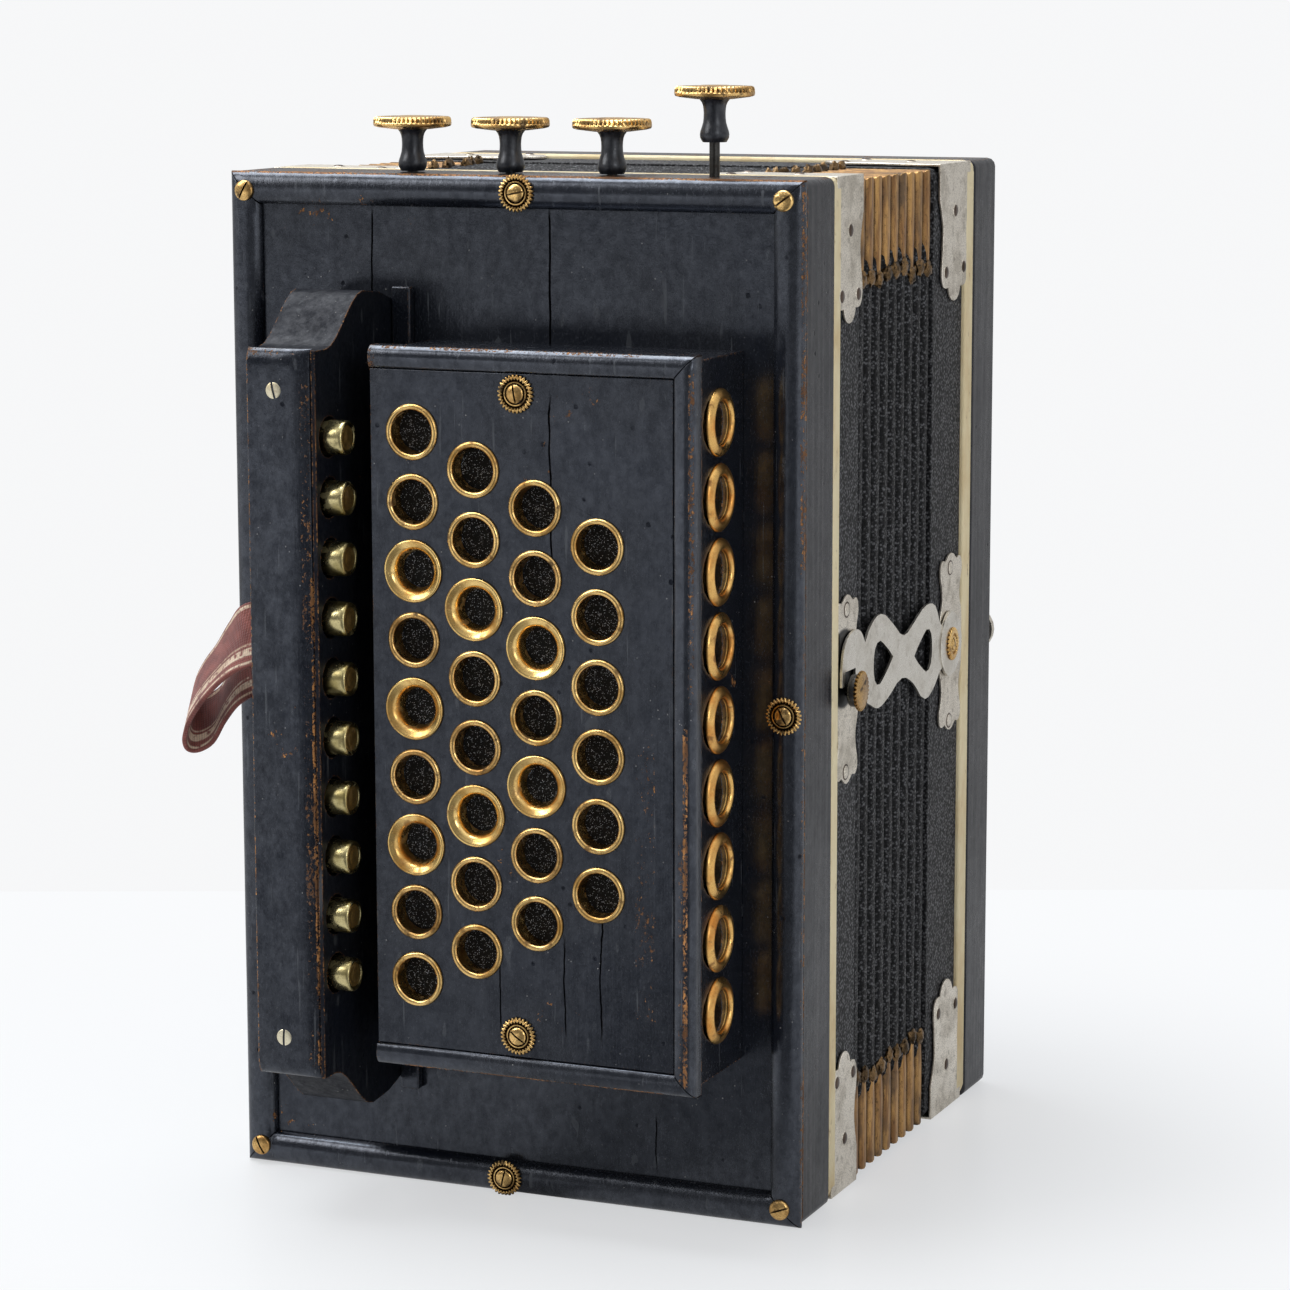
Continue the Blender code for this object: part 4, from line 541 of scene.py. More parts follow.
COPPER_CUPS = metal(
    "brass_cups", (0.95, 0.58, 0.19), (0.72, 0.30, 0.065), (0.16, 0.040, 0.010), 0.24,
    stains=0.7, pits=0.3, scratch=0.3, grime_and_shade=0.35, grime_and_shade_reach=1.6 * MM,
)
NICKEL = metal(
    "nickel_old", (0.86, 0.80, 0.70), (0.60, 0.55, 0.47), (0.17, 0.14, 0.105), 0.34,
    stains=0.40, pits=0.9, scratch=0.8,
)
# Painted shade on the keeper plate: a dark round spot behind the latch stud.
KEEPER_PAINTED_SHADE = ((87.5 * MM, 20.0 * MM, 153 * MM), 11.3 * MM)
KEEPER_NICKEL_SHADED = metal(
    "nickel_keeper_painted_shade", (0.86, 0.80, 0.70), (0.60, 0.55, 0.47), (0.17, 0.14, 0.105), 0.34,
    stains=0.40, pits=0.9, scratch=0.8, shade_patch=KEEPER_PAINTED_SHADE,
)
BRIGHT_NICKEL = metal(
    "nickel_hook", (0.80, 0.765, 0.69), (0.66, 0.62, 0.545), (0.20, 0.15, 0.10), 0.24,
    stains=0.25, pits=0.4, scratch=0.7,
)
STEEL = metal(
    "steel_old", (0.09, 0.088, 0.085), (0.045, 0.043, 0.04), (0.03, 0.02, 0.014), 0.22,
    stains=0.6, pits=0.5,
)
NAIL = metal(
    "nail_dark", (0.13, 0.095, 0.075), (0.05, 0.034, 0.024), (0.020, 0.012, 0.008), 0.28,
    stains=0.5, pits=0.5,
)
FACE_BRASS = metal(
    "brass_face", (0.60, 0.40, 0.14), (0.26, 0.16, 0.05), (0.08, 0.04, 0.015), 0.42,
    stains=0.8, pits=0.6, scratch=0.4,
)
THROAT = metal(
    "brass_throats", (1.0, 0.68, 0.24), (0.80, 0.42, 0.10), (0.30, 0.10, 0.02), 0.36,
    stains=0.6, pits=0.3,
)
KNOT = metal(
    "gilt_knots", (0.26, 0.16, 0.075), (0.03, 0.022, 0.015), (0.010, 0.008, 0.006), 0.30,
    stains=0.8, pits=0.9, scratch=0.5, grime_and_shade=0.9, grime_and_shade_reach=1.5 * MM,
)
PALE_SCREW = metal(
    "screw_pale", (0.95, 0.88, 0.66), (0.80, 0.66, 0.40), (0.22, 0.10, 0.03), 0.34,
    stains=0.35, pits=0.3,
)
FRAME_CLOTH = black_cloth("frame_cloth")
BELLOWS_CLOTH = black_cloth("bellows_cloth", 0.5)
SEAL = leather("seal_leather_cream", (0.93, 0.80, 0.52), (0.78, 0.60, 0.33), (0.30, 0.16, 0.065))
HAND_LEATHER = leather(
    "hand_leather", (0.105, 0.050, 0.024), (0.055, 0.024, 0.012), (0.018, 0.009, 0.006), 0.42, 1100
)
GILT = gilt_paper()
SPRUCE = bare_wood()
GAUZE = grille_cloth()
BAND = woven_band()
EBONY = lacquer("ebony_turned", 0.2, 0.0, gloss=0.30, radius=0.5 * MM, tint=(0.9, 0.93, 1.0), streaks=0.2)


# Mesh helpers

def frame_of(axis, centre):
    """Return the matrix that stands local Z along an axis, at a place."""
    turn = {
        "X": Matrix.Rotation(math.pi / 2, 4, "Y"),
        "-Y": Matrix.Rotation(math.pi / 2, 4, "X"),
        "-X": Matrix.Rotation(-math.pi / 2, 4, "Y"),
        "Y": Matrix.Rotation(-math.pi / 2, 4, "X"),
        "Z": Matrix.Identity(4),
        "-Z": Matrix.Rotation(math.pi, 4, "X"),
    }[axis]
    return Matrix.Translation(Vector(centre)) @ turn


def revolve(shape, profile, matrix, sides=48, closed=False, milled=None):
    """Turn a profile of radius and height, outside first, about local Z."""
    rings = []
    for radius, height in profile:
        if radius == 0:
            rings.append([shape.verts.new(matrix @ Vector((0, 0, height)))])
            continue
        ring = []
        for i in range(sides):
            angle = 2 * math.pi * i / sides
            length = radius * (milled(angle, radius, height) if milled else 1)
            point = Vector((length * math.cos(angle), length * math.sin(angle), height))
            ring.append(shape.verts.new(matrix @ point))
        rings.append(ring)
    pairs = list(zip(rings, rings[1:]))
    if closed:
        pairs.append((rings[-1], rings[0]))
    for first, second in pairs:
        for i in range(sides):
            j = (i + 1) % sides
            if len(first) == 1 and len(second) == 1:
                continue
            if len(first) == 1:
                shape.faces.new((first[0], second[i], second[j]))
            elif len(second) == 1:
                shape.faces.new((first[i], second[0], first[j]))
            else:
                shape.faces.new((first[i], second[i], second[j], first[j]))


def box(shape, low, high, bevel=0.0):
    """Add a box between two corners, its edges eased."""
    made = bmesh.new()
    bmesh.ops.create_cube(made, size=1)
    for vert in made.verts:
        for axis in range(3):
            vert.co[axis] = high[axis] if vert.co[axis] > 0 else low[axis]
    if bevel:
        bmesh.ops.bevel(made, geom=made.edges[:], offset=bevel, segments=2, affect="EDGES", profile=0.5)
    mesh = bpy.data.meshes.new("box")
    made.to_mesh(mesh)
    made.free()
    shape.from_mesh(mesh)
    bpy.data.meshes.remove(mesh)


def put(name, data):
    """Add an object to the scene."""
    made = bpy.data.objects.new(name, data)
    bpy.context.scene.collection.objects.link(made)
    return made


def piece(name, shape, material, body=None, smooth=40, replaces=()):
    """Turn a shape into a piece that rides on a body."""
    bmesh.ops.recalc_face_normals(shape, faces=shape.faces)
    mesh = bpy.data.meshes.new(name)
    shape.to_mesh(mesh)
    shape.free()
    mesh.materials.append(material)
    for face in mesh.polygons:
        face.use_smooth = True
    mesh.set_sharp_from_angle(angle=math.radians(smooth))
    made = put(name, mesh)
    if replaces:
        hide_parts(*replaces)
    if body:
        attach(made, body)
    return made


def arc(centre, radius, start, end, steps):
    """Return points on an arc, as radius and height, angles in degrees."""
    points = []
    for i in range(steps + 1):
        angle = math.radians(start + (end - start) * i / steps)
        points.append((centre[0] + radius * math.cos(angle), centre[1] + radius * math.sin(angle)))
    return points


# CAD pieces that keep their shape

def paint(material, *nodes):
    """Give CAD nodes a material."""
    for name in nodes:
        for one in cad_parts[name].material_slots:
            one.material = material


def apply(made):
    """Make an object's modifiers part of its mesh."""
    bpy.context.view_layer.update()
    made.data = bpy.data.meshes.new_from_object(made.evaluated_get(bpy.context.evaluated_depsgraph_get()))
    made.modifiers.clear()


def ease_edges(made, width, segments=3):
    """Round a piece's sharp edges and smooth what lies between them."""
    ease = made.modifiers.new("ease", "BEVEL")
    ease.width = width
    ease.segments = segments
    ease.limit_method = "ANGLE"
    ease.angle_limit = math.radians(32)
    ease.miter_outer = "MITER_ARC"
    even = made.modifiers.new("even", "WEIGHTED_NORMAL")
    even.keep_sharp = True
    apply(made)


SWELL_DEPTH = 3 * MM
SEAL_BULGE = 1.15 * MM


def refine(node, name, material, body, width=0.4 * MM, segments=3, swell=0.0, merge=True):
    """Copy a CAD node into a piece with eased edges that stands for it; swell moves its outer faces out."""
    shape = bmesh.new()
    shape.from_mesh(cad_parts[node].data)
    bmesh.ops.remove_doubles(shape, verts=shape.verts, dist=1e-6)
    if merge:
        bmesh.ops.dissolve_limit(shape, angle_limit=math.radians(0.5), verts=shape.verts, edges=shape.edges)
    for vert in shape.verts:
        if abs(vert.co.x) > HALF_WIDTH - SWELL_DEPTH:
            vert.co.x += math.copysign(swell, vert.co.x)
        if abs(vert.co.z - MIDDLE_Z) > MIDDLE_Z - SWELL_DEPTH:
            vert.co.z += math.copysign(swell, vert.co.z - MIDDLE_Z)
    made = piece(name, shape, material, None, 32, (node,))
    ease_edges(made, width, segments)
    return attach(made, body)


# A crack or rub: axis, place on it, half width, wobble or amount, other axis and the span there
X, Y, Z = 0, 1, 2
cover_cracks = (
    (X, -43.4 * MM, 0.34 * MM, 1.6 * MM, Z, (250 * MM, 283 * MM)),
    (X, 11.3 * MM, 0.38 * MM, 1.8 * MM, Z, (238 * MM, 284 * MM)),
    (X, 43.0 * MM, 0.26 * MM, 2.2 * MM, Z, (9 * MM, 30 * MM)),
)
panel_cracks = (
    (X, 28.8 * MM, 0.34 * MM, 4 * MM, Z, (186 * MM, 236 * MM)),
    (X, 32.0 * MM, 0.26 * MM, 3 * MM, Z, (56 * MM, 88 * MM)),
    (X, 43.0 * MM, 0.28 * MM, 4 * MM, Z, (56 * MM, 104 * MM)),
    (X, 12.6 * MM, 0.24 * MM, 2 * MM, Z, (56 * MM, 80 * MM)),
)
ALL_Z = (-10 * MM, 300 * MM)
ALL_X = (-95 * MM, 95 * MM)
cap_rub = (
    (X, -38.1 * MM, 1.1 * MM, 0.62, Z, (40 * MM, 186 * MM)),
    (X, -39.8 * MM, 1.8 * MM, 0.16, Z, (40 * MM, 240 * MM)),
    (X, -57.0 * MM, 0.8 * MM, 0.50, Z, ALL_Z),
    (Z, 243.6 * MM, 1.2 * MM, 0.16, X, ALL_X),
)
grille_rub = (
    (X, 68.0 * MM, 0.9 * MM, 0.58, Z, (44 * MM, 150 * MM)),
    (X, 66.6 * MM, 0.8 * MM, 0.20, Z, (44 * MM, 120 * MM)),
    (X, 69.4 * MM, 0.9 * MM, 0.32, Z, (150 * MM, 246 * MM)),
    (X, -24.4 * MM, 2.0 * MM, 0.16, Z, ALL_Z),
    (Z, 45.4 * MM, 0.4 * MM, 0.6, X, (-20 * MM, 66 * MM)),
    (Z, 245.2 * MM, 0.5 * MM, 0.4, X, (-25 * MM, 60 * MM)),
)
panel_rub = ((X, 56 * MM, 4 * MM, 0.10, Z, (60 * MM, 150 * MM)),)
moulding_rub = (
    (X, 86.8 * MM, 0.7 * MM, 0.40, Z, (180 * MM, 292 * MM)),
    (X, 87.0 * MM, 0.35 * MM, 0.18, Z, (-5 * MM, 180 * MM)),
    (Z, 289.9 * MM, 0.45 * MM, 0.85, X, ALL_X),
    (Z, 0.1 * MM, 0.35 * MM, 0.4, X, ALL_X),
)
case_rub = ((Y, -10.2 * MM, 0.5 * MM, 0.5, Z, ALL_Z), (Z, HEIGHT, 0.6 * MM, 0.2, X, ALL_X))
SIDE_TINT = (0.92, 0.92, 1.0)
MOULDING_WIDTH = 9.2 * MM
GRILLE_LEFT, GRILLE_RIGHT = -25 * MM, 70.5 * MM
GRILLE_LOW, GRILLE_HIGH = 45 * MM, 245.6 * MM
COVER_LACQUER = lacquer("lacquer_cover", 0.25, 0.35, cracks=cover_cracks)
CASE_LACQUER = lacquer(
    "lacquer_case", 0.6, 0.2, gloss=0.22, rubbed=case_rub, shine=0.22, tint=SIDE_TINT, streaks=1.0
)
MOULDING_LACQUER = lacquer(
    "lacquer_moulding",
    0.45,
    0.4,
    mitres=(-HALF_WIDTH, HALF_WIDTH, 0, HEIGHT, MOULDING_WIDTH),
    rubbed=moulding_rub,
    shine=0.85,
)
GRILLE_LACQUER = lacquer(
    "lacquer_grille_moulding",
    0.65,
    0.7,
    mitres=(-200 * MM, GRILLE_RIGHT, GRILLE_LOW, GRILLE_HIGH, 5.9 * MM),
    shine=0.9,
    rubbed=grille_rub,
)
PANEL_LACQUER = lacquer(
    "lacquer_grille_panel", 0.2, 0.35, cracks=panel_cracks, rubbed=panel_rub, shine=0.60
)
BOARD_LACQUER = lacquer("lacquer_board", 0.75, 0.3, gloss=0.36, shine=0.11, tint=SIDE_TINT, uneven=0.6)
CAP_LACQUER = lacquer("lacquer_cap", 0.3, 0.75, rubbed=cap_rub, shine=0.62, uneven=0.42)
BOX_LACQUER = lacquer("lacquer_box", 0.7, 0.35)

for node, name, material, body, width in (
    ("treble_cover", "cover_panel", COVER_LACQUER, TREBLE, 0.2),
    ("bass_cover", "bass_back_panel", COVER_LACQUER, BASS, 0.3),
    ("treble_case", "treble_rim", CASE_LACQUER, TREBLE, 0.5),
    ("grille_box", "grille_walls", BOX_LACQUER, TREBLE, 0.4),
    ("fingerboard", "button_board", BOARD_LACQUER, TREBLE, 0.45),
    ("key_plinth", "key_rail", BOX_LACQUER, TREBLE, 0.5),
    ("air_key", "air_button_wood", EBONY, "air_button", 0.4),
):
    refine(node, name, material, body, width * MM)
refine("bass_case", "bass_rim", CASE_LACQUER, BASS, 1.3 * MM, 4)
refine("grille_panel", "grille_board", PANEL_LACQUER, TREBLE, 0.25 * MM, 2, merge=False)
refine("treble_bellows_frame", "treble_cloth_frame", FRAME_CLOTH, TREBLE, 0.8 * MM)
refine("bass_bellows_frame", "bass_cloth_frame", FRAME_CLOTH, BASS, 0.8 * MM)
refine("treble_seal", "treble_leather_seal", SEAL, TREBLE, 0.9 * MM, 3, SEAL_BULGE)
refine("bass_seal", "bass_leather_seal", SEAL, BASS, 1.1 * MM, 3, SEAL_BULGE)
for number in (1, 2):
    refine(f"bass_key_{number}", f"bass_spoon_{number}", NICKEL, f"bass_lever_{number}", 0.3 * MM)
for end, body in (("treble", TREBLE), ("bass", BASS)):
    for number in (1, 2, 3, 4):
        name = f"{end}_corner_plate_{number}"
        refine(name, f"{end}_corner_metal_{number}", NICKEL, body, 0.22 * MM, 2)
refine("latch_keeper", "keeper_plate", KEEPER_NICKEL_SHADED, TREBLE, 0.22 * MM, 2)
refine("latch_plate", "pivot_plate", NICKEL, BASS, 0.22 * MM, 2)
refine("latch_hook", "hook_plate", BRIGHT_NICKEL, "hook", 0.2 * MM, 2)
paint(SPRUCE, "bass_pan", "treble_reed_block", "bass_reed_block")
paint(STEEL, "key_axle", "bass_key_axle")


# Mouldings

def half_round(width, height, foot, inner_foot, steps=16):
    """Return a moulding's section as inset and height, from its outer foot to its inner."""
    points = [(0.0, 0.0)]
    for i in range(steps + 1):
        angle = math.pi * i / steps
        level = foot if i < steps / 2 else inner_foot
        points.append((width / 2 * (1 - math.cos(angle)), level + (height - level) * math.sin(angle)))
    return points + [(width, 0.0)]


STRIP_PARTS = 60
WAVER = 0.10 * MM


def frame_strip(shape, edges, section, base_y, open_left):
    """Run a section round a rectangle with mitred corners, a little uneven by hand."""
    left, right, low, high = edges
    rings = []
    for inset, height in section:
        corners = [(right - inset, low + inset), (right - inset, high - inset)]
        if open_left:
            corners = [(left, low + inset)] + corners + [(left, high - inset)]
        else:
            lower_left = (left + inset, low + inset)
            corners = [lower_left] + corners + [(left + inset, high - inset), lower_left]
        ring = []
        for first, second in zip(corners, corners[1:]):
            for i in range(STRIP_PARTS):
                t = i / STRIP_PARTS
                x = first[0] + (second[0] - first[0]) * t
                z = first[1] + (second[1] - first[1]) * t
                uneven = wander.noise(Vector((x * 38, inset * 90, z * 38))) * WAVER * min(1, height / MM)
                ring.append(shape.verts.new((x, base_y - height - uneven, z)))
        if open_left:
            ring.append(shape.verts.new((corners[-1][0], base_y - height, corners[-1][1])))
        rings.append(ring)
    count = len(rings[0])
    for first, second in zip(rings, rings[1:] + rings[:1]):
        for i in range(count - (1 if open_left else 0)):
            j = (i + 1) % count
            shape.faces.new((first[i], first[j], second[j], second[i]))
    if open_left:
        shape.faces.new([ring[0] for ring in rings])
        shape.faces.new([ring[-1] for ring in reversed(rings)])


strip = bmesh.new()
edges = (-HALF_WIDTH, HALF_WIDTH, 0, HEIGHT)
frame_strip(strip, edges, half_round(MOULDING_WIDTH, 3.4 * MM, 0.5 * MM, 0.1 * MM), COVER_FOOT, False)
piece("cover_moulding", strip, MOULDING_LACQUER, TREBLE, 50, ("treble_moulding",))
strip = bmesh.new()
edges = (GRILLE_LEFT, GRILLE_RIGHT, GRILLE_LOW, GRILLE_HIGH)
frame_strip(strip, edges, half_round(6.1 * MM, 5.65 * MM, 3.0 * MM, 4.4 * MM), GRILLE_FOOT, True)
piece("grille_rim_moulding", strip, GRILLE_LACQUER, TREBLE, 50, ("grille_moulding",))


# Cap of the fingerboard, rounded along its right side and its ends

def fall(distance, reach):
    """Return the height share of a quarter round, 0 at its foot and 1 past its reach."""
    short = max(0.0, 1 - distance / reach)
    return math.sqrt(max(0.0, 1 - short * short))


cap_low, cap_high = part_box("fingerboard_cap")
cap = bmesh.new()
CAP_WIDTH = 19.4
CAP_RISE = 2.55 * MM
LEFT_ROUND, RIGHT_ROUND, END_ROUND = 0.8, 9.0, 4.6
CAP_ROWS = 60
columns = [0, 0.03, 0.1, 0.2, 0.35, 0.55, 0.8, 1.3, 2.5, 5, 8, 10.4, 12, 13.3, 14.5, 15.6, 16.6, 17.4]
columns += [18.1, 18.6, 19, 19.25, CAP_WIDTH]
lengths = [0, 0.06, 0.2, 0.45, 0.8, 1.3, 1.9, 2.7, 3.6, 4.8]
cap_length = (cap_high[2] - cap_low[2]) / MM
straight = cap_length - 2 * lengths[-1]
heights = lengths + [lengths[-1] + straight * i / CAP_ROWS for i in range(1, CAP_ROWS)]
heights += [cap_length - one for one in reversed(lengths)]
cap_rows = []
for height in heights:
    row = []
    for across in columns:
        share = fall(across, LEFT_ROUND) * fall(CAP_WIDTH - across, RIGHT_ROUND)
        share *= fall(min(height, cap_length - height), END_ROUND)
        x = cap_low[0] + across * MM
        z = cap_low[2] + height * MM
        uneven = 0.07 * MM * wander.noise(Vector((x * 60, 3.0, z * 60)))
        y = cap_high[1] - 0.25 * MM - share * CAP_RISE + share * uneven
        row.append(cap.verts.new((x, y, z)))
    cap_rows.append(row)
for first, second in zip(cap_rows, cap_rows[1:]):
    for i in range(len(first) - 1):
        cap.faces.new((first[i], first[i + 1], second[i + 1], second[i]))
foot = bmesh.ops.extrude_face_region(cap, geom=cap.faces[:])
for vert in [one for one in foot["geom"] if isinstance(one, bmesh.types.BMVert)]:
    vert.co.y = cap_high[1]
piece("board_cap", cap, CAP_LACQUER, TREBLE, 60, ("fingerboard_cap",))


# Eyelets in the grille box

ROWS = (9, 8, 7, 6)
FLARED = {(0, 2), (0, 4), (0, 6), (1, 2), (1, 5), (2, 2), (2, 4)}
BROWNED = {(0, 3), (0, 5), (0, 7), (1, 4), (2, 1), (2, 5), (1, 6)}


def eyelet_profile():
    """Return an eyelet's rolled rim and tube, as radius and height above the face."""
    bore, flange, height = 6.0 * MM, 7.75 * MM, 0.9 * MM
    seat = 0.1 * MM
    narrow = bore - 0.2 * MM
    roll = (flange - bore) / 2
    rim = arc((bore + roll, seat), roll, 0, 180, 12)
    rim = [(radius, seat + (level - seat) * height / roll) for radius, level in rim]
    inner = [(bore - 0.08 * MM, -1.2 * MM), (narrow, -4.4 * MM), (narrow + 0.35 * MM, -4.4 * MM)]
    outer = [(bore + 0.5 * MM, -1.0 * MM), (bore + 0.5 * MM, -0.05 * MM)]
    return rim + inner + outer


PLAIN = eyelet_profile()
FLARE = in_mm(
    (8.7, 0), (8.68, 0.45), (8.5, 0.8), (8.2, 0.95), (7.85, 0.88), (7.5, 0.65), (7.0, 0.42), (6.6, 0.18),
    (6.2, -0.2), (5.8, -0.8), (5.4, -1.7), (5.15, -2.9), (5.0, -4.4), (5.4, -4.4), (6.25, -1.2),
    (6.35, -0.3), (6.5, -0.02),
)
plain = bmesh.new()
flared = bmesh.new()
brown = bmesh.new()
for column, count in enumerate(ROWS):
    for row in range(count):
        centre = ((-12.4 + 18.25 * column) * MM, PANEL_FACE, (146.4 + 19 * ((count - 1) / 2 - row)) * MM)
        matrix = frame_of("-Y", centre)
        if (column, row) in FLARED:
            revolve(flared, FLARE, matrix, 64, True)
        else:
            revolve(brown if (column, row) in BROWNED else plain, PLAIN, matrix, 64, True)
for name, shape, material in (
    ("front_eyelets_plain", plain, BRASS),
    ("front_eyelets_flared", flared, GOLD),
    ("front_eyelets_brown", brown, AGED_BRASS),
):
    piece(name, shape, material, TREBLE, 50, ("front_eyelets",))

CUP_RIM = in_mm(
    (9.28, 0), (9.25, 0.3), (9.05, 0.65), (8.6, 1.05), (8.0, 1.4), (7.3, 1.65), (6.8, 1.62), (6.4, 1.35),
    (6.15, 0.9), (6.0, 0.2), (6.3, -0.3),
)
CUP_THROAT = in_mm(
    (6.02, 0.1), (5.8, -0.7), (5.35, -1.6), (4.75, -2.6), (4.1, -3.6), (3.6, -4.8), (3.3, -6.2), (3.2, -7.6),
    (3.9, -7.6), (6.3, -0.6),
)
cups = bmesh.new()
throats = bmesh.new()
cup_low, cup_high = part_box("side_eyelets")
for i in range(9):
    centre = (68.9 * MM, (cup_low[1] + cup_high[1]) / 2, (145.4 + 20.2 * (i - 4)) * MM)
    revolve(cups, CUP_RIM, frame_of("X", centre), 64, True)
    revolve(throats, CUP_THROAT, frame_of("X", centre), 64, True)
piece("side_eyelet_cups", cups, COPPER_CUPS, TREBLE, 50, ("side_eyelets",))
piece("side_eyelet_throats", throats, THROAT, TREBLE, 50, ("side_eyelets",))


def cloth_panel(side, low, high):
    """Stretch a flat piece of gauze behind the eyelets."""
    name = f"{side}_gauze"
    shape = bmesh.new()
    bmesh.ops.create_grid(shape, x_segments=20, y_segments=40, size=0.5)
    for vert in shape.verts:
        u, v = vert.co.x + 0.5, vert.co.y + 0.5
        height = low[2] + (high[2] - low[2]) * v
        if side == "front":
            vert.co = (low[0] + (high[0] - low[0]) * u, low[1], height)
        else:
            vert.co = (low[0], low[1] + (high[1] - low[1]) * u, height)
    made = piece(name, shape, GAUZE, TREBLE, 60, (f"{side}_eyelets",))


GAUZE_Y = -43.9 * MM
GAUZE_X = 60.2 * MM
low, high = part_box("front_eyelets")
cloth_panel("front", (low[0], GAUZE_Y, low[2]), (high[0], GAUZE_Y, high[2]))
low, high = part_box("side_eyelets")
cloth_panel("side", (GAUZE_X, low[1], low[2]), (GAUZE_X, high[1], high[2]))


# Screws, washers and the latch's turned parts

def subtract(target, cutter):
    """Cut one object out of another and drop the cutter."""
    modifier = target.modifiers.new("slot", "BOOLEAN")
    modifier.object = cutter
    modifier.operation = "DIFFERENCE"
    modifier.solver = "EXACT"
    bpy.context.view_layer.update()
    done = bpy.data.meshes.new_from_object(target.evaluated_get(bpy.context.evaluated_depsgraph_get()))
    target.modifiers.clear()
    target.data = done
    for face in done.polygons:
        face.use_smooth = True
    done.set_sharp_from_angle(angle=math.radians(35))
    bpy.data.objects.remove(cutter)


SCREW_FOOT = 0.6 * MM
DOME_ANGLES = (0, 0.3, 0.6, 0.9, 1.2, 1.4)
CUTTER_HEIGHT = 4 * MM


def screws(name, places, radius, rise, material, slot_width, slot_depth, axis="-Y", body=TREBLE):
    """Make domed screws with a slot each; a place is a centre and the slot's angle."""
    heads = bmesh.new()
    slots = bmesh.new()
    for centre, angle in places:
        matrix = frame_of(axis, centre)
        edge = rise * 0.35
        dome = [(radius * math.cos(t), edge + (rise - edge) * math.sin(t)) for t in DOME_ANGLES]
        revolve(heads, [(0, -SCREW_FOOT), (radius, -SCREW_FOOT)] + dome + [(0, rise)], matrix, 32)
        turned = matrix @ Matrix.Rotation(math.radians(angle), 4, "Z")
        cutter = bmesh.ops.create_cube(slots, size=1)["verts"]
        for vert in cutter:
            level = (vert.co.z + 0.5) * CUTTER_HEIGHT + rise - slot_depth
            vert.co = turned @ Vector((vert.co.x * radius * 3, vert.co.y * slot_width, level))
    bmesh.ops.recalc_face_normals(slots, faces=slots.faces)
    mesh = bpy.data.meshes.new("slots")
    slots.to_mesh(mesh)
    slots.free()
    cutter = put("slots", mesh)
    made = piece(name, heads, material, None, 35)
    subtract(made, cutter)
    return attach(made, body)


MOULDING_FACE = -14.2 * MM
CORNER_INSET = 5.4 * MM
screw_x = HALF_WIDTH - CORNER_INSET
screw_z = HEIGHT - CORNER_INSET
corner_places = [
    ((-screw_x, MOULDING_FACE, screw_z), 62),
    ((screw_x, MOULDING_FACE, screw_z), 35),
    ((-screw_x, MOULDING_FACE, CORNER_INSET), 118),
    ((screw_x, MOULDING_FACE, CORNER_INSET), 20),
]
screws("moulding_corner_screws", corner_places, 2.9 * MM, 1.35 * MM, AGED_BRASS, 0.55 * MM, 0.8 * MM)
washer_places = [
    ((3.1 * MM, MOULDING_FACE, 285.3 * MM), 12),
    ((82.3 * MM, MOULDING_FACE, 145 * MM), 118),
    ((-2.6 * MM, MOULDING_FACE, 4.7 * MM), 76),
    ((18.7 * MM, PANEL_FACE, 233.9 * MM), 100),
    ((18.2 * MM, PANEL_FACE, 57.3 * MM), 145),
]


def teeth(count, depth, power, foot):
    """Return a function that notches what lies outside the foot radius of a disc."""
    def notch(turn, radius, height):
        return 1 - depth * max(0.0, math.cos(count * turn)) ** power if radius > foot else 1
    return notch


WASHER = in_mm(
    (5.1, 0), (5.3, 0.35), (5.15, 0.75), (4.7, 0.95), (4.25, 0.9), (4.0, 0.45), (3.75, 0.15), (3.45, 0.35),
    (3.25, 0.8), (2.95, 0.85), (2.75, 0.3), (2.6, 0.1),
)
washers = bmesh.new()
for centre, angle in washer_places:
    revolve(washers, WASHER, frame_of("-Y", centre), 168, True, teeth(28, 0.11, 0.6, 4.1 * MM))
piece("milled_washers", washers, AGED_BRASS, TREBLE, 45)
washer_screws = [((x, y - 0.5 * MM, z), angle) for (x, y, z), angle in washer_places]
screws("washer_screws", washer_screws, 2.55 * MM, 1.15 * MM, AGED_BRASS, 0.5 * MM, 0.75 * MM)

# Latch: a disc's level is its X, since it turns about a line across the case
LATCH_Z = 146.6 * MM
PIVOT_Y = 109.95 * MM
stud_frame = frame_of("X", (0, 22.65 * MM, LATCH_Z))
pivot_frame = frame_of("X", (0, PIVOT_Y, LATCH_Z))
collar = bmesh.new()
COLLAR = in_mm(
    (0, 90.85), (4.4, 90.85), (4.6, 90.5), (4.6, 88.8), (4.3, 88.45), (1.3, 88.4), (1.3, 80), (0, 80),
)
revolve(collar, COLLAR, stud_frame, 40)
piece("stud_collar", collar, STEEL, TREBLE, 40, ("latch_stud",))
knurl = bmesh.new()
KNURL = in_mm(
    (0, 92), (3.6, 91.95), (4.2, 91.75), (5.3, 91.75), (5.7, 91.5), (5.7, 91.05), (5.3, 90.8), (0, 90.8),
)
revolve(knurl, KNURL, stud_frame, 168, False, teeth(28, 0.13, 0.6, 5 * MM))
piece("stud_knurl", knurl, DULL_BRASS, TREBLE, 40, ("latch_stud",))
pivot = bmesh.new()
ROSETTE = in_mm(
    (0, 89.1), (1.9, 89.1), (2.2, 89.35), (2.6, 89.0), (3.0, 89.0), (3.4, 89.45), (4.5, 89.4), (4.95, 89.1),
    (5.0, 88.6), (1.5, 88.5), (1.5, 80), (0, 80),
)
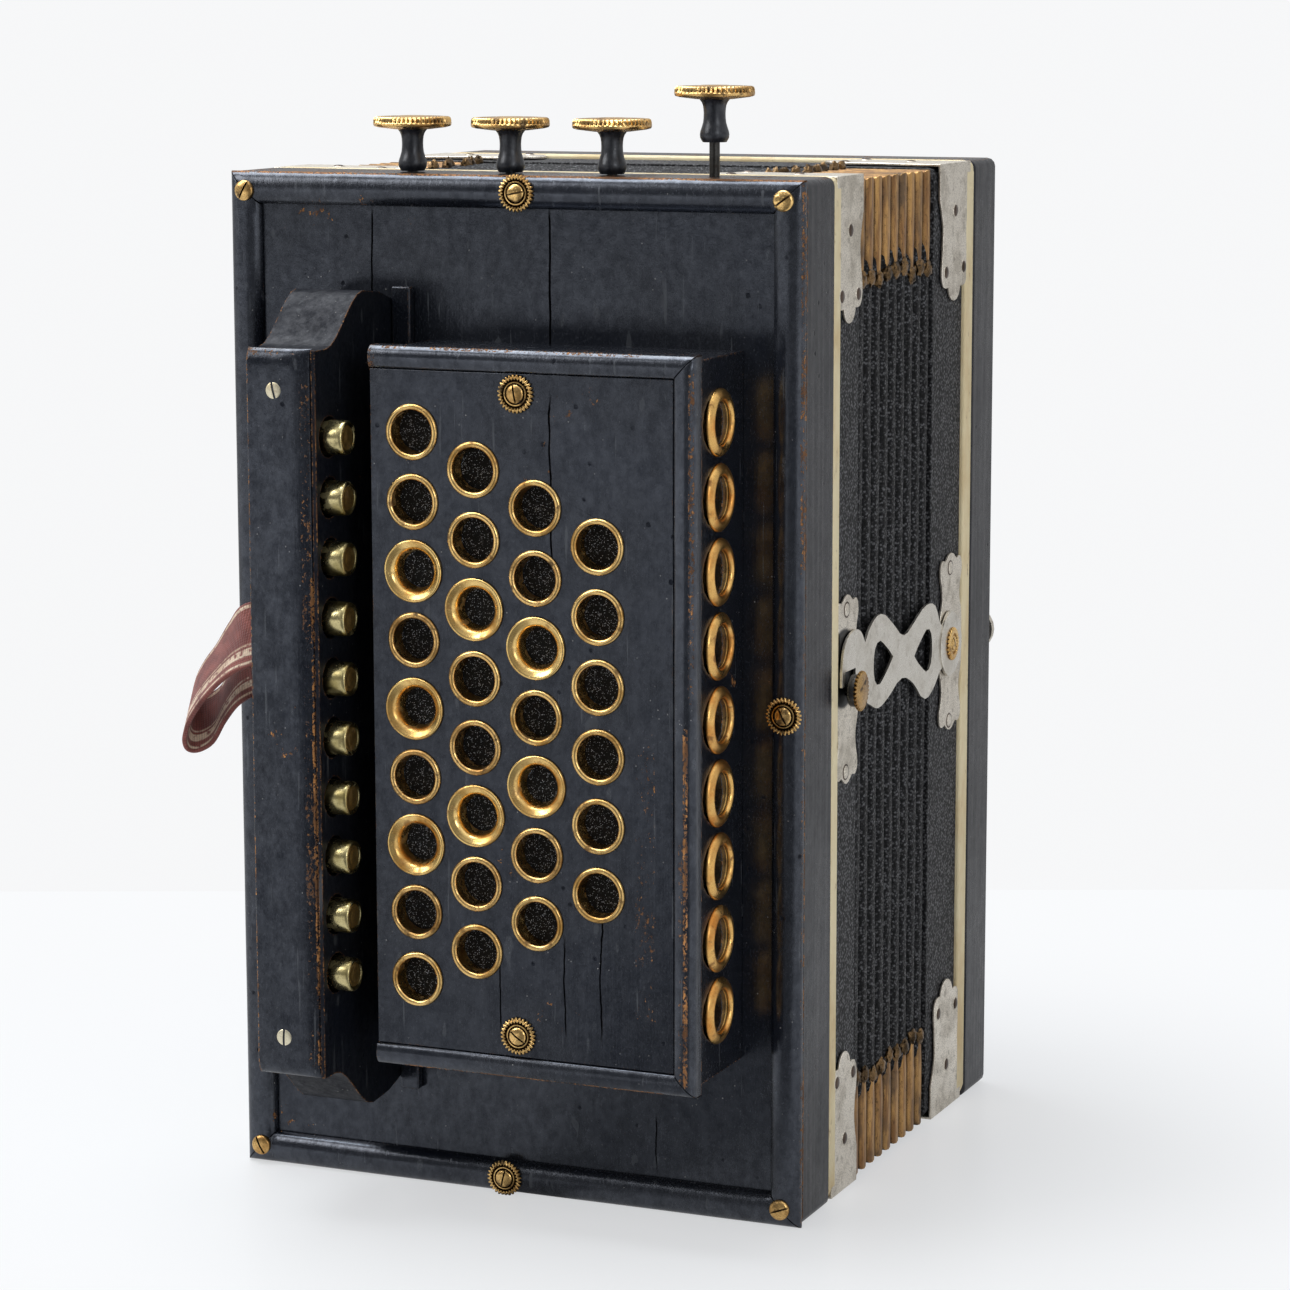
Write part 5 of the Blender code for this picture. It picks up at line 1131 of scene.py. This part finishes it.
revolve(pivot, ROSETTE, pivot_frame, 132, False, teeth(22, 0.10, 0.7, 3.2 * MM))
piece("pivot_rosette", pivot, BRASS, BASS, 40, ("latch_pivot_screw",))
boss = bmesh.new()
BOSS = in_mm((9.5, 87.9), (9.5, 88.35), (9.3, 88.55), (8.9, 88.62), (1.7, 88.62), (1.7, 87.9))
revolve(boss, BOSS, pivot_frame, 72, True)
piece("hook_boss", boss, BRIGHT_NICKEL, "hook", 40)
cap_face = cap_low[1] + 0.35 * MM
cap_screws = [((-48.6 * MM, cap_face, 233.3 * MM), 103), ((-48.6 * MM, cap_face, 52.7 * MM), 88)]
screws("cap_screws", cap_screws, 2.35 * MM, 0.5 * MM, PALE_SCREW, 0.65 * MM, 0.45 * MM)
seats = bmesh.new()
SEAT = in_mm((2.35, -0.6), (2.4, -0.1), (2.9, 0.0), (3.25, -0.12), (3.4, -0.3), (3.4, -0.6))
for centre, angle in cap_screws:
    revolve(seats, SEAT, frame_of("-Y", centre), 48, True)
piece("cap_screw_seats", seats, NAIL, TREBLE, 50)
pivot_place = (88.95 * MM, PIVOT_Y, LATCH_Z)
screws("pivot_screw", [(pivot_place, 20)], 1.8 * MM, 0.75 * MM, AGED_BRASS, 0.45 * MM, 0.6 * MM, "X", BASS)


# Stops

def milled_edge(turn, radius, height):
    """Return the notched upper rim of a stop's disc."""
    if radius < 10.1 * MM or height < 13.75 * MM:
        return 1
    return 1 - 0.055 * (0.5 + 0.5 * math.cos(52 * turn))


STOP_X = (-35.5 * MM, -5.2 * MM, 25.6 * MM, 56 * MM)
PULLED_OUT = 9.1 * MM
STOP_DISC = in_mm(
    (0, 15.75), (3.6, 15.7), (4.6, 15.5), (5.4, 15.25), (8.6, 15.2), (9.4, 15.45), (10.3, 15.4),
    (10.75, 15.1), (10.95, 14.5), (10.98, 13.9), (11.0, 13.6), (10.95, 13.1), (10.7, 12.75), (9.6, 12.45),
    (5.2, 11.9), (0, 11.9),
)
STOP_STEM = in_mm(
    (0, 12.0), (4.3, 12.0), (3.95, 11.6), (3.5, 11.0), (3.2, 10.2), (3.05, 9.2), (2.98, 8.0), (3.02, 6.8),
    (3.15, 5.6), (3.5, 4.4), (3.9, 3.2), (4.02, 2.4), (3.92, 1.5), (3.6, 0.85), (3.25, 0.3), (0, 0.3),
)
STOP_ROD = in_mm((0, 0.3), (1.45, 0.3), (1.45, -24), (0, -24))
for number, x in enumerate(STOP_X, 1):
    top = HEIGHT + (PULLED_OUT if number == 4 else 0)
    matrix = frame_of("Z", (x, 0, top))
    body = f"stop_{number}"
    knob = (f"stop_knob_{number}",)
    disc = bmesh.new()
    revolve(disc, STOP_DISC, matrix, 160, False, milled_edge)
    piece(f"stop_disc_{number}", disc, AGED_BRASS, body, 38, (f"stop_cap_{number}",))
    stem = bmesh.new()
    revolve(stem, STOP_STEM, matrix, 48)
    piece(f"stop_stem_{number}", stem, EBONY, body, 50, knob)
    rod = bmesh.new()
    revolve(rod, STOP_ROD, matrix, 24)
    box(rod, (x - 10 * MM, -1.5 * MM, top - 27.8 * MM), (x + 10 * MM, 1.5 * MM, top - 24 * MM), 0.4 * MM)
    piece(f"stop_rod_{number}", rod, STEEL, body, 40, knob)


# Treble keys

KEYS = 10
KEY_PITCH = 16.65 * MM
KEYS_MIDDLE = 145.4 * MM
HALF_LEVER = 2.5 * MM
HALF_PALLET = 6.3 * MM
AXLE_X, AXLE_Y = -42.3 * MM, -21.25 * MM
BUTTON = in_mm(
    (0, 9.15), (3.35, 9.15), (3.55, 9.35), (3.85, 9.55), (4.15, 9.6), (4.45, 9.45), (4.65, 9.1), (4.75, 8.5),
    (4.8, 0.3), (4.5, 0), (0, 0),
)
INLAY = in_mm((0, 9.3), (1.9, 9.28), (2.1, 9.2), (2.3, 9.26), (3.2, 9.25), (3.3, 9.1))
HUB = [(3.2 * MM, -HALF_LEVER), (3.2 * MM, HALF_LEVER), (1.6 * MM, HALF_LEVER), (1.6 * MM, -HALF_LEVER)]


def bars(shape, middle, half, rows):
    """Add boxes between X and Y corners in millimetres, centred on a height."""
    for low, high, bevel in rows:
        box(
            shape,
            (low[0] * MM, low[1] * MM, middle - half),
            (high[0] * MM, high[1] * MM, middle + half),
            bevel * MM,
        )


LEVER_BARS = (
    ((-42.1, -54.1), (-39.6, -21.25), 0.4),
    ((-39.6, -22.5), (1.5, -20.0), 0.4),
    ((-3.5, -20.25), (1.5, -16.6), 0.3),
)
PALLET_BARS = (((-14, -16.85), (12, -12.2), 0.5), ((-14, -12.2), (12, -10.95), 0.3))
for number in range(1, KEYS + 1):
    z = KEYS_MIDDLE + KEY_PITCH * ((KEYS + 1) / 2 - number)
    body = f"key_{number}"
    key = (f"treble_key_{number}",)
    matrix = frame_of("X", (-39.8 * MM, -51.65 * MM, z))
    button = bmesh.new()
    revolve(button, BUTTON, matrix, 48)
    piece(f"key_button_{number}", button, GREEN_BRASS, body, 50, key)
    face = bmesh.new()
    revolve(face, INLAY, matrix, 40)
    piece(f"key_face_{number}", face, FACE_BRASS, body, 50, key)
    # The levers take the dark nail metal as painted shade, for they stand in shadow behind the buttons.
    lever = bmesh.new()
    bars(lever, z, HALF_LEVER, LEVER_BARS)
    revolve(lever, HUB, frame_of("Z", (AXLE_X, AXLE_Y, z)), 32, True)
    piece(f"key_lever_{number}", lever, NAIL, body, 40, key)
    pallet = bmesh.new()
    bars(pallet, z, HALF_PALLET, PALLET_BARS)
    piece(f"key_pallet_{number}", pallet, SPRUCE, body, 40, key)


# Bellows

BELLOWS_Y = (33.75 * MM, 96.75 * MM)
FOLDS = 9
PITCH_Y = (BELLOWS_Y[1] - BELLOWS_Y[0]) / FOLDS
DEPTH = 13 * MM
INSET = 1.6 * MM
RING_COLUMNS, RING_ROWS, CORNER_STEPS = 54, 92, 6


def rounded_ring(inset, corner):
    """Return the X and Z of a rounded rectangle, the same number of points at any inset."""
    half = HALF_WIDTH - INSET - inset
    low, high = INSET + inset, HEIGHT - INSET - inset
    points = []

    def side(start, end, steps):
        for i in range(steps):
            t = i / steps
            points.append((start[0] + (end[0] - start[0]) * t, start[1] + (end[1] - start[1]) * t))

    def turn(centre, start):
        for i in range(CORNER_STEPS):
            angle = math.radians(start + 90 * i / CORNER_STEPS)
            points.append((centre[0] + corner * math.cos(angle), centre[1] + corner * math.sin(angle)))

    side((corner - half, low), (half - corner, low), RING_COLUMNS)
    turn((half - corner, low + corner), -90)
    side((half, low + corner), (half, high - corner), RING_ROWS)
    turn((half - corner, high - corner), 0)
    side((half - corner, high), (corner - half, high), RING_COLUMNS)
    turn((corner - half, high - corner), 90)
    side((-half, high - corner), (-half, low + corner), RING_ROWS)
    turn((corner - half, low + corner), 180)
    return points


def fold_inset(u):
    """Return how far in the cloth lies at a share of one fold."""
    return DEPTH * abs(2 * u - 1) ** 5.0


rng = random.Random(4)
shape = bmesh.new()
STEPS = 12
END_INSET = 4.5 * MM
levels = [(BELLOWS_Y[0], END_INSET)]
for fold in range(FOLDS):
    for step in range(STEPS + (fold == FOLDS - 1)):
        u = step / STEPS
        inset = fold_inset(u)
        if (fold == 0 and u < 0.5) or (fold == FOLDS - 1 and u > 0.5):
            inset = min(inset, END_INSET)
        levels.append((BELLOWS_Y[0] + PITCH_Y * (fold + u), inset))
levels = sorted({round(y, 7): inset for y, inset in levels}.items())

# Each ring is shifted along Y by a smooth ripple, but not near the corner clips
RIPPLE_DRAWS, RIPPLE_USED, RIPPLE_SPAN = 320, 50, 6
RIPPLE_HEIGHT = 0.45 * MM
END_FADE = 2 * MM
ripple = [[rng.uniform(-1, 1) for _ in range(RIPPLE_DRAWS)] for _ in range(FOLDS + 1)]
rings = []
for y, inset in levels:
    ring = []
    fold = min(FOLDS - 1, int((y - BELLOWS_Y[0]) / PITCH_Y))
    points = rounded_ring(inset, (2 + 4 * inset / DEPTH) * MM)
    edge = min(1.0, (y - BELLOWS_Y[0]) / END_FADE, (BELLOWS_Y[1] - y) / END_FADE)
    for i, (x, z) in enumerate(points):
        t = i / RIPPLE_SPAN
        a = ripple[fold][int(t) % RIPPLE_USED]
        b = ripple[fold][(int(t) + 1) % RIPPLE_USED]
        f = t % 1
        shift = (a + (b - a) * f * f * (3 - 2 * f)) * RIPPLE_HEIGHT * edge
        loose = abs(z - MIDDLE_Z) < 117 * MM or abs(x) < 58 * MM
        ring.append(shape.verts.new((x, y + (shift if loose else 0), z)))
    rings.append(ring)
for first, second in zip(rings, rings[1:]):
    for i in range(len(first)):
        j = (i + 1) % len(first)
        shape.faces.new((first[i], second[i], second[j], first[j]))
bellows = piece("bellows_folds", shape, BELLOWS_CLOTH, None, 60, ("bellows",))
thick = bellows.modifiers.new("thickness", "SOLIDIFY")
thick.thickness = 0.8 * MM
thick.offset = -1
apply(bellows)
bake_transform(bellows)


# Gilt clips over the corners of every fold

CLIP_REACH = 28 * MM
CLIP_DEPTH = 4.5 * MM
CLIP_PROUD = 0.25 * MM
CLIP_STEPS = 8
CLIP_SECTION = (
    (-1.0, 1.0), (-0.98, 0.5), (-0.88, 0.2), (-0.66, 0.05), (0, 0),
    (0.66, 0.05), (0.88, 0.2), (0.98, 0.5), (1.0, 1.0),
)
KNOT_RADIUS = 2.15 * MM
KNOT_SINK = 0.6 * MM

# An end this far off along X is worked out from each fold's share of the pull, but nothing uses it; the
# clips stay where they are built.
FAR = 1000.0
for fold in range(FOLDS):
    middle = BELLOWS_Y[0] + PITCH_Y * (fold + 0.5)
    clips = bmesh.new()
    knots = bmesh.new()
    for side_x in (-1, 1):
        for side_z in (-1, 1):
            fold_width = rng.uniform(2.5, 3.05) * MM
            reach_x = CLIP_REACH * rng.uniform(0.93, 1.06)
            reach_z = CLIP_REACH * rng.uniform(0.93, 1.06)
            corner_x = side_x * (HALF_WIDTH - INSET + CLIP_PROUD)
            corner_z = MIDDLE_Z + side_z * (MIDDLE_Z - INSET + CLIP_PROUD)
            stations = [((1 - i / CLIP_STEPS) * reach_z, 0) for i in range(CLIP_STEPS + 1)]
            stations += [(0, i / CLIP_STEPS * reach_x) for i in range(1, CLIP_STEPS + 1)]
            rows = []
            for down, across in stations:
                along = down / reach_z if down else across / reach_x
                width = fold_width * (1 - max(0, along - 0.68) / 0.32 * 0.72)
                depth = CLIP_DEPTH * (1 - max(0, along - 0.6) / 0.4 * 0.75)
                lean = rng.uniform(-0.12, 0.12) * MM
                at_corner = down == 0 and across == 0
                row = []
                for y_share, in_share in CLIP_SECTION:
                    inward = depth * in_share
                    x = corner_x - side_x * (across + (inward if down or at_corner else 0))
                    z = corner_z - side_z * (down + (inward if across or at_corner else 0))
                    row.append(clips.verts.new((x, middle + lean + width * y_share, z)))
                rows.append(row)
            for first, second in zip(rows, rows[1:]):
                for a in range(len(first) - 1):
                    clips.faces.new((first[a], first[a + 1], second[a + 1], second[a]))
            for place_x, place_z in (
                (corner_x - side_x * KNOT_SINK, corner_z - side_z * reach_z),
                (corner_x - side_x * reach_x, corner_z - side_z * KNOT_SINK),
            ):
                before = len(knots.verts)
                bmesh.ops.create_icosphere(knots, subdivisions=3, radius=KNOT_RADIUS)
                knots.verts.ensure_lookup_table()
                lumps = Vector((fold * 7, place_x * 900, place_z * 900))
                for vert in knots.verts[before:]:
                    bump = 1 + 0.35 * wander.noise(vert.co * 1500 + lumps)
                    vert.co = Vector((vert.co.x * 0.7, vert.co.y, vert.co.z * 1.25)) * bump
                    vert.co += Vector((place_x, middle, place_z))
    share = (middle - BELLOWS_Y[0]) / (BELLOWS_Y[1] - BELLOWS_Y[0])
    end = ((1 - share) * FAR, 0, 0)
    for kind, shape, material in (("clips", clips, GILT), ("knots", knots, KNOT)):
        made = piece(f"bellows_{kind}_{fold + 1}", shape, material, None, 50)
        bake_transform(made)


# Nails in the plates

NAIL_DOME = ((1, -0.5), (1, 0.04), (0.92, 0.2), (0.7, 0.38), (0.4, 0.48), (0, 0.52))
NAIL_RING = ((1.25, -0.3), (1.22, 0.04), (1.14, 0.15), (1.02, 0.12), (1.0, -0.3))
NAIL_RADIUS = 1.75 * MM
LATCH_NAIL_RADIUS = 1.9 * MM


def nails(name, places, body, material=NAIL, rim=NICKEL):
    """Make round nail heads; a place is a centre, the way the head faces and its radius."""
    shape = bmesh.new()
    rings = bmesh.new()
    for centre, axis, radius in places:
        matrix = frame_of(axis, centre)
        revolve(shape, [(share * radius, level * MM) for share, level in NAIL_DOME], matrix, 24)
        revolve(rings, [(share * radius, level * MM) for share, level in NAIL_RING], matrix, 24, True)
    piece(name, shape, material, body, 50)
    piece(f"{name}_rings", rings, rim, body, 50)


def latch_nails(name, body, *spots):
    """Nail a plate of the latch; a spot is a Y and a Z in millimetres. The heads are nickel, each in a ring
    of dark nail metal that is a painted shade outline.
    """
    places = [((HALF_WIDTH, y * MM, z * MM), "X", LATCH_NAIL_RADIUS) for y, z in spots]
    nails(name, places, body, NICKEL, NAIL)


for end, body, middle, drop, lobe_drop, lobe in (
    ("treble", TREBLE, 23.35 * MM, 15.6 * MM, 33 * MM, 6.6 * MM),
    ("bass", BASS, 113.65 * MM, 14.5 * MM, 31.6 * MM, 8.0 * MM),
):
    places = []
    for side in (-1, 1):
        for upper in (True, False):
            foot = HEIGHT if upper else 1.2 * MM
            face = HEIGHT if upper else 1.35 * MM
            way = -1 if upper else 1
            for down, along in ((drop, 0), (lobe_drop, -lobe), (lobe_drop, lobe)):
                down += rng.uniform(-0.5, 0.5) * MM
                on_side = (side * HALF_WIDTH, middle + along, foot + way * down)
                places.append((on_side, "X" if side > 0 else "-X", NAIL_RADIUS))
                on_end = (side * (HALF_WIDTH - down), middle + along, face)
                places.append((on_end, "Z" if upper else "-Z", NAIL_RADIUS * 0.9))
    nails(f"{end}_plate_nails", places, body)
latch_nails("keeper_nails", TREBLE, (22.3, 169.4), (22.2, 123.2))
latch_nails("pivot_plate_nails", BASS, (112.4, 169.2), (112.6, 122.6))


# Thumb strap

# Lower edge of the band: how far out to the left, how far forward and how high, then its way up
ROUTE = [
    ((0, 41.5, 156.5), (0, 0.45, 0.89)),
    ((4.4, 41.9, 155), (-0.25, 0.42, 0.87)),
    ((9.4, 42.1, 153), (-0.36, 0.66, 0.66)),
    ((14.4, 42, 149.3), (-0.38, 0.78, 0.50)),
    ((19.9, 41.3, 143.8), (-0.32, 0.79, 0.52)),
    ((24.9, 39.3, 137.8), (-0.26, 0.78, 0.57)),
    ((28.1, 36.8, 132), (-0.22, 0.76, 0.61)),
    ((28.2, 34.7, 128.6), (-0.14, 0.68, 0.72)),
    ((25.6, 33, 128.2), (-0.10, 0.62, 0.78)),
    ((21.7, 31.9, 130.8), (-0.10, 0.58, 0.81)),
    ((17.4, 32.5, 137.2), (-0.12, 0.56, 0.82)),
    ((12.4, 32.5, 142.8), (-0.14, 0.54, 0.83)),
    ((6.4, 29.5, 146), (-0.08, 0.50, 0.86)),
    ((0, 26, 148), (0, 0.45, 0.89)),
]


def smooth_between(rows, t):
    """Return a point on the smooth curve through rows of vectors."""
    i = min(int(t), len(rows) - 2)
    f = t - i
    p0 = rows[max(i - 1, 0)]
    p1, p2 = rows[i], rows[i + 1]
    p3 = rows[min(i + 2, len(rows) - 1)]
    straight = (p2 - p0) * f
    square = (2 * p0 - 5 * p1 + 4 * p2 - p3) * f ** 2
    cube = (3 * p1 - p0 - 3 * p2 + p3) * f ** 3
    return 0.5 * (2 * p1 + straight + square + cube)


def strap(name, lowers, ways, width, thickness, material, body, replaced, columns=12, steps=6):
    """Build a band from its lower edge and the direction to its upper edge."""
    shape = bmesh.new()
    uv = shape.loops.layers.uv.new("UVMap")
    rows = []
    length = 0.0
    last = None
    count = (len(lowers) - 1) * steps
    for i in range(count + 1):
        t = i / steps
        low_edge = smooth_between(lowers, t)
        way = smooth_between(ways, t).normalized()
        middle = low_edge + way * width / 2
        if last is not None:
            length += (middle - last).length
        last = middle
        rows.append((low_edge, way, length))
    grid = []
    for low_edge, way, distance in rows:
        row = []
        for j in range(columns + 1):
            vert = shape.verts.new(low_edge + way * width * j / columns)
            row.append((vert, j / columns, distance))
        grid.append(row)
    for first, second in zip(grid, grid[1:]):
        for j in range(columns):
            corners = (first[j], first[j + 1], second[j + 1], second[j])
            face = shape.faces.new([vert for vert, across, distance in corners])
            for loop, (vert, across, distance) in zip(face.loops, corners):
                loop[uv].uv = (across, distance)
    mesh = bpy.data.meshes.new(name)
    shape.to_mesh(mesh)
    shape.free()
    mesh.materials.append(material)
    for face in mesh.polygons:
        face.use_smooth = True
    made = put(name, mesh)
    thick = made.modifiers.new("thickness", "SOLIDIFY")
    thick.thickness = thickness
    thick.offset = 0
    ease = made.modifiers.new("edge", "BEVEL")
    ease.width = thickness * 0.3
    ease.segments = 2
    ease.angle_limit = math.radians(50)
    apply(made)
    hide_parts(*replaced)
    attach(made, body)
    return made, length


STRAP_WALL = -57.6 * MM
BAND_WIDTH = 19 * MM
lowers = []
ways = []
for (away, out, height), way in ROUTE:
    lowers.append(Vector((STRAP_WALL - away * MM, (-10.75 - out) * MM, height * MM)))
    ways.append(Vector(way))
band, band_length = strap(
    "thumb_band", lowers, ways, BAND_WIDTH, 1.3 * MM, BAND, TREBLE, ("thumb_strap",)
)


# Hand strap

low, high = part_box("hand_strap")
HAND_STEPS = 16
HAND_LOW, HAND_HIGH = 26, 264
HAND_WIDTH = 40 * MM
HAND_THICKNESS = 2.4 * MM
arch = (high[1] - low[1] - 2.5 * MM) / MM
route = [(14.0, 0.0)]
for i in range(HAND_STEPS + 1):
    t = i / HAND_STEPS
    route.append((HAND_LOW + (HAND_HIGH - HAND_LOW) * t, arch * math.sin(math.pi * t) ** 1.4))
route.append((276.0, 0.0))
lowers = [Vector((-12 * MM, low[1] + 1.25 * MM + rise * MM, height * MM)) for height, rise in route]
ways = [Vector((1, 0, 0))] * len(lowers)
strap(
    "hand_leather", lowers, ways, HAND_WIDTH, HAND_THICKNESS, HAND_LEATHER, BASS,
    ("hand_strap",), 16, 4,
)
strap_face = low[1] + HAND_THICKNESS
strap_middle = (low[0] + high[0]) / 2
strap_screws = []
for x, z, turn in ((-10, 20, 30), (10, 20, 75), (-10, 270, 110), (10, 270, 5)):
    strap_screws.append(((strap_middle + x * MM, strap_face, z * MM), turn))
screws("hand_strap_screws", strap_screws, 3.4 * MM, 1.2 * MM, NICKEL, 0.5 * MM, 0.7 * MM, "Y", BASS)


# Floor, backdrop and light

def floor_material():
    """A pale table: lit like the rest, nearly white to the camera."""
    material, tree, shader = new_material("floor")
    cloud = noise(tree, 3, detail=2)
    tone = blend_colours(tree, cloud, (0.86, 0.875, 0.89), (0.90, 0.905, 0.915))
    drive(tree, shader, Base_Color=tone, Roughness=0.30, Specular_IOR_Level=0.35)
    spot = add(tree, "VectorMath", place(tree), FLOOR_FOOT, operation="DISTANCE").outputs["Value"]
    path = add(tree, "LightPath")
    mirrored = largest(tree, path.outputs["Is Glossy Ray"], path.outputs["Is Transmission Ray"])
    dim = between(tree, spot, 0.25, 2.2, 0.70, 1.20)
    where = add(tree, "SeparateXYZ", tree.nodes.new("ShaderNodeNewGeometry").outputs["Position"])
    ahead = largest(tree, times(tree, where.outputs[1], -1.0), 0.02)
    bearing = maths(tree, "DIVIDE", where.outputs[0], ahead)
    gap = times(tree, between(tree, bearing, -0.30, -0.08), between(tree, bearing, 1.1, 0.6))
    dim = times(tree, dim, minus(tree, 1.0, times(tree, gap, 0.75)))
    level = plus(tree, times(tree, mirrored, dim), path.outputs["Is Camera Ray"])
    glow = add(tree, "Emission", (0.952, 0.963, 0.979, 1), level)
    share = between(tree, spot, 0.10, 0.31, 0.58, 0.985)
    seen = largest(tree, path.outputs["Is Camera Ray"], mirrored)
    mixed = add(tree, "MixShader", times(tree, seen, share), shader.outputs[0], glow.outputs[0])
    tree.links.new(mixed.outputs[0], tree.nodes["Material Output"].inputs["Surface"])
    return material


def plane(name, half, centre, material, turn=0.0):
    """Add a flat rectangle to the stage."""
    mesh = bpy.data.meshes.new(name)
    x, y = half
    mesh.from_pydata([(-x, -y, 0), (x, -y, 0), (x, y, 0), (-x, y, 0)], [], [(0, 1, 2, 3)])
    mesh.materials.append(material)
    made = put(name, mesh)
    made.location = centre
    made.rotation_euler = (0, 0, turn)
    return made


view_along = Vector((-math.sin(YAW), math.cos(YAW), 0))
TABLE_HALF = 3.0

# The row of the photo where the table ends, its middle row and the focal length in pixels
EDGE_ROW, MIDDLE_ROW, FOCAL = 890, 645, 3923
edge_distance = CAMERA_HEIGHT / math.tan(PITCH + math.atan((EDGE_ROW - MIDDLE_ROW) / FOCAL))
table_edge = Vector((camera.location.x, camera.location.y, 0)) + view_along * edge_distance
table_centre = table_edge - view_along * TABLE_HALF
turned = Vector((-table_centre.x, 0.06 - table_centre.y, 0))
turned.rotate(Matrix.Rotation(-YAW, 3, "Z"))
FLOOR_FOOT = (turned.x, turned.y, 0)
plane("floor", (4.0, TABLE_HALF), (table_centre.x, table_centre.y, -0.0002), floor_material(), YAW)

WORLD_LEVEL = 0.30
world = bpy.data.worlds.new("studio")
bpy.context.scene.world = world
world.use_nodes = True
tree = world.node_tree
background = tree.nodes["Background"]
path = add(tree, "LightPath")
direction = add(tree, "SeparateXYZ", add(tree, "TexCoord").outputs["Generated"])
front = between(tree, direction.outputs[1], -0.15, -0.80)
above = between(tree, direction.outputs[2], 0.35, 0.85)
room = plus(tree, between(tree, front, 0.0, 1.0, 0.58, 0.20), times(tree, above, 0.42))
strength = plus(tree, WORLD_LEVEL, times(tree, path.outputs["Is Camera Ray"], 0.943 - WORLD_LEVEL))
mirrored = largest(tree, path.outputs["Is Glossy Ray"], path.outputs["Is Transmission Ray"])
extra = times(tree, mirrored, minus(tree, room, WORLD_LEVEL))
strength = plus(tree, strength, extra)
tree.links.new(strength, background.inputs["Strength"])
background.inputs["Color"].default_value = (0.985, 0.99, 1.0, 1)


def soft_light(name, location, size, watts, colour, target=(0, 0, 0.15)):
    """Add a square soft light aimed at the object."""
    data = bpy.data.lights.new(name, "AREA")
    data.shape = "SQUARE"
    data.size = size
    data.energy = watts
    data.color = colour
    made = put(name, data)
    made.location = location
    made.rotation_euler = (Vector(target) - Vector(location)).to_track_quat("-Z", "Y").to_euler()


soft_light("key", (-1.3, -1.1, 1.3), 0.9, 13, (1.0, 0.99, 0.97))
soft_light("fill", (1.5, -1.2, 0.8), 0.7, 5, (0.97, 0.985, 1.0))
soft_light("top", (-0.45, 0.1, 1.6), 1.1, 23, (0.93, 0.965, 1.0))

bpy.context.scene.view_settings.view_transform = "Standard"
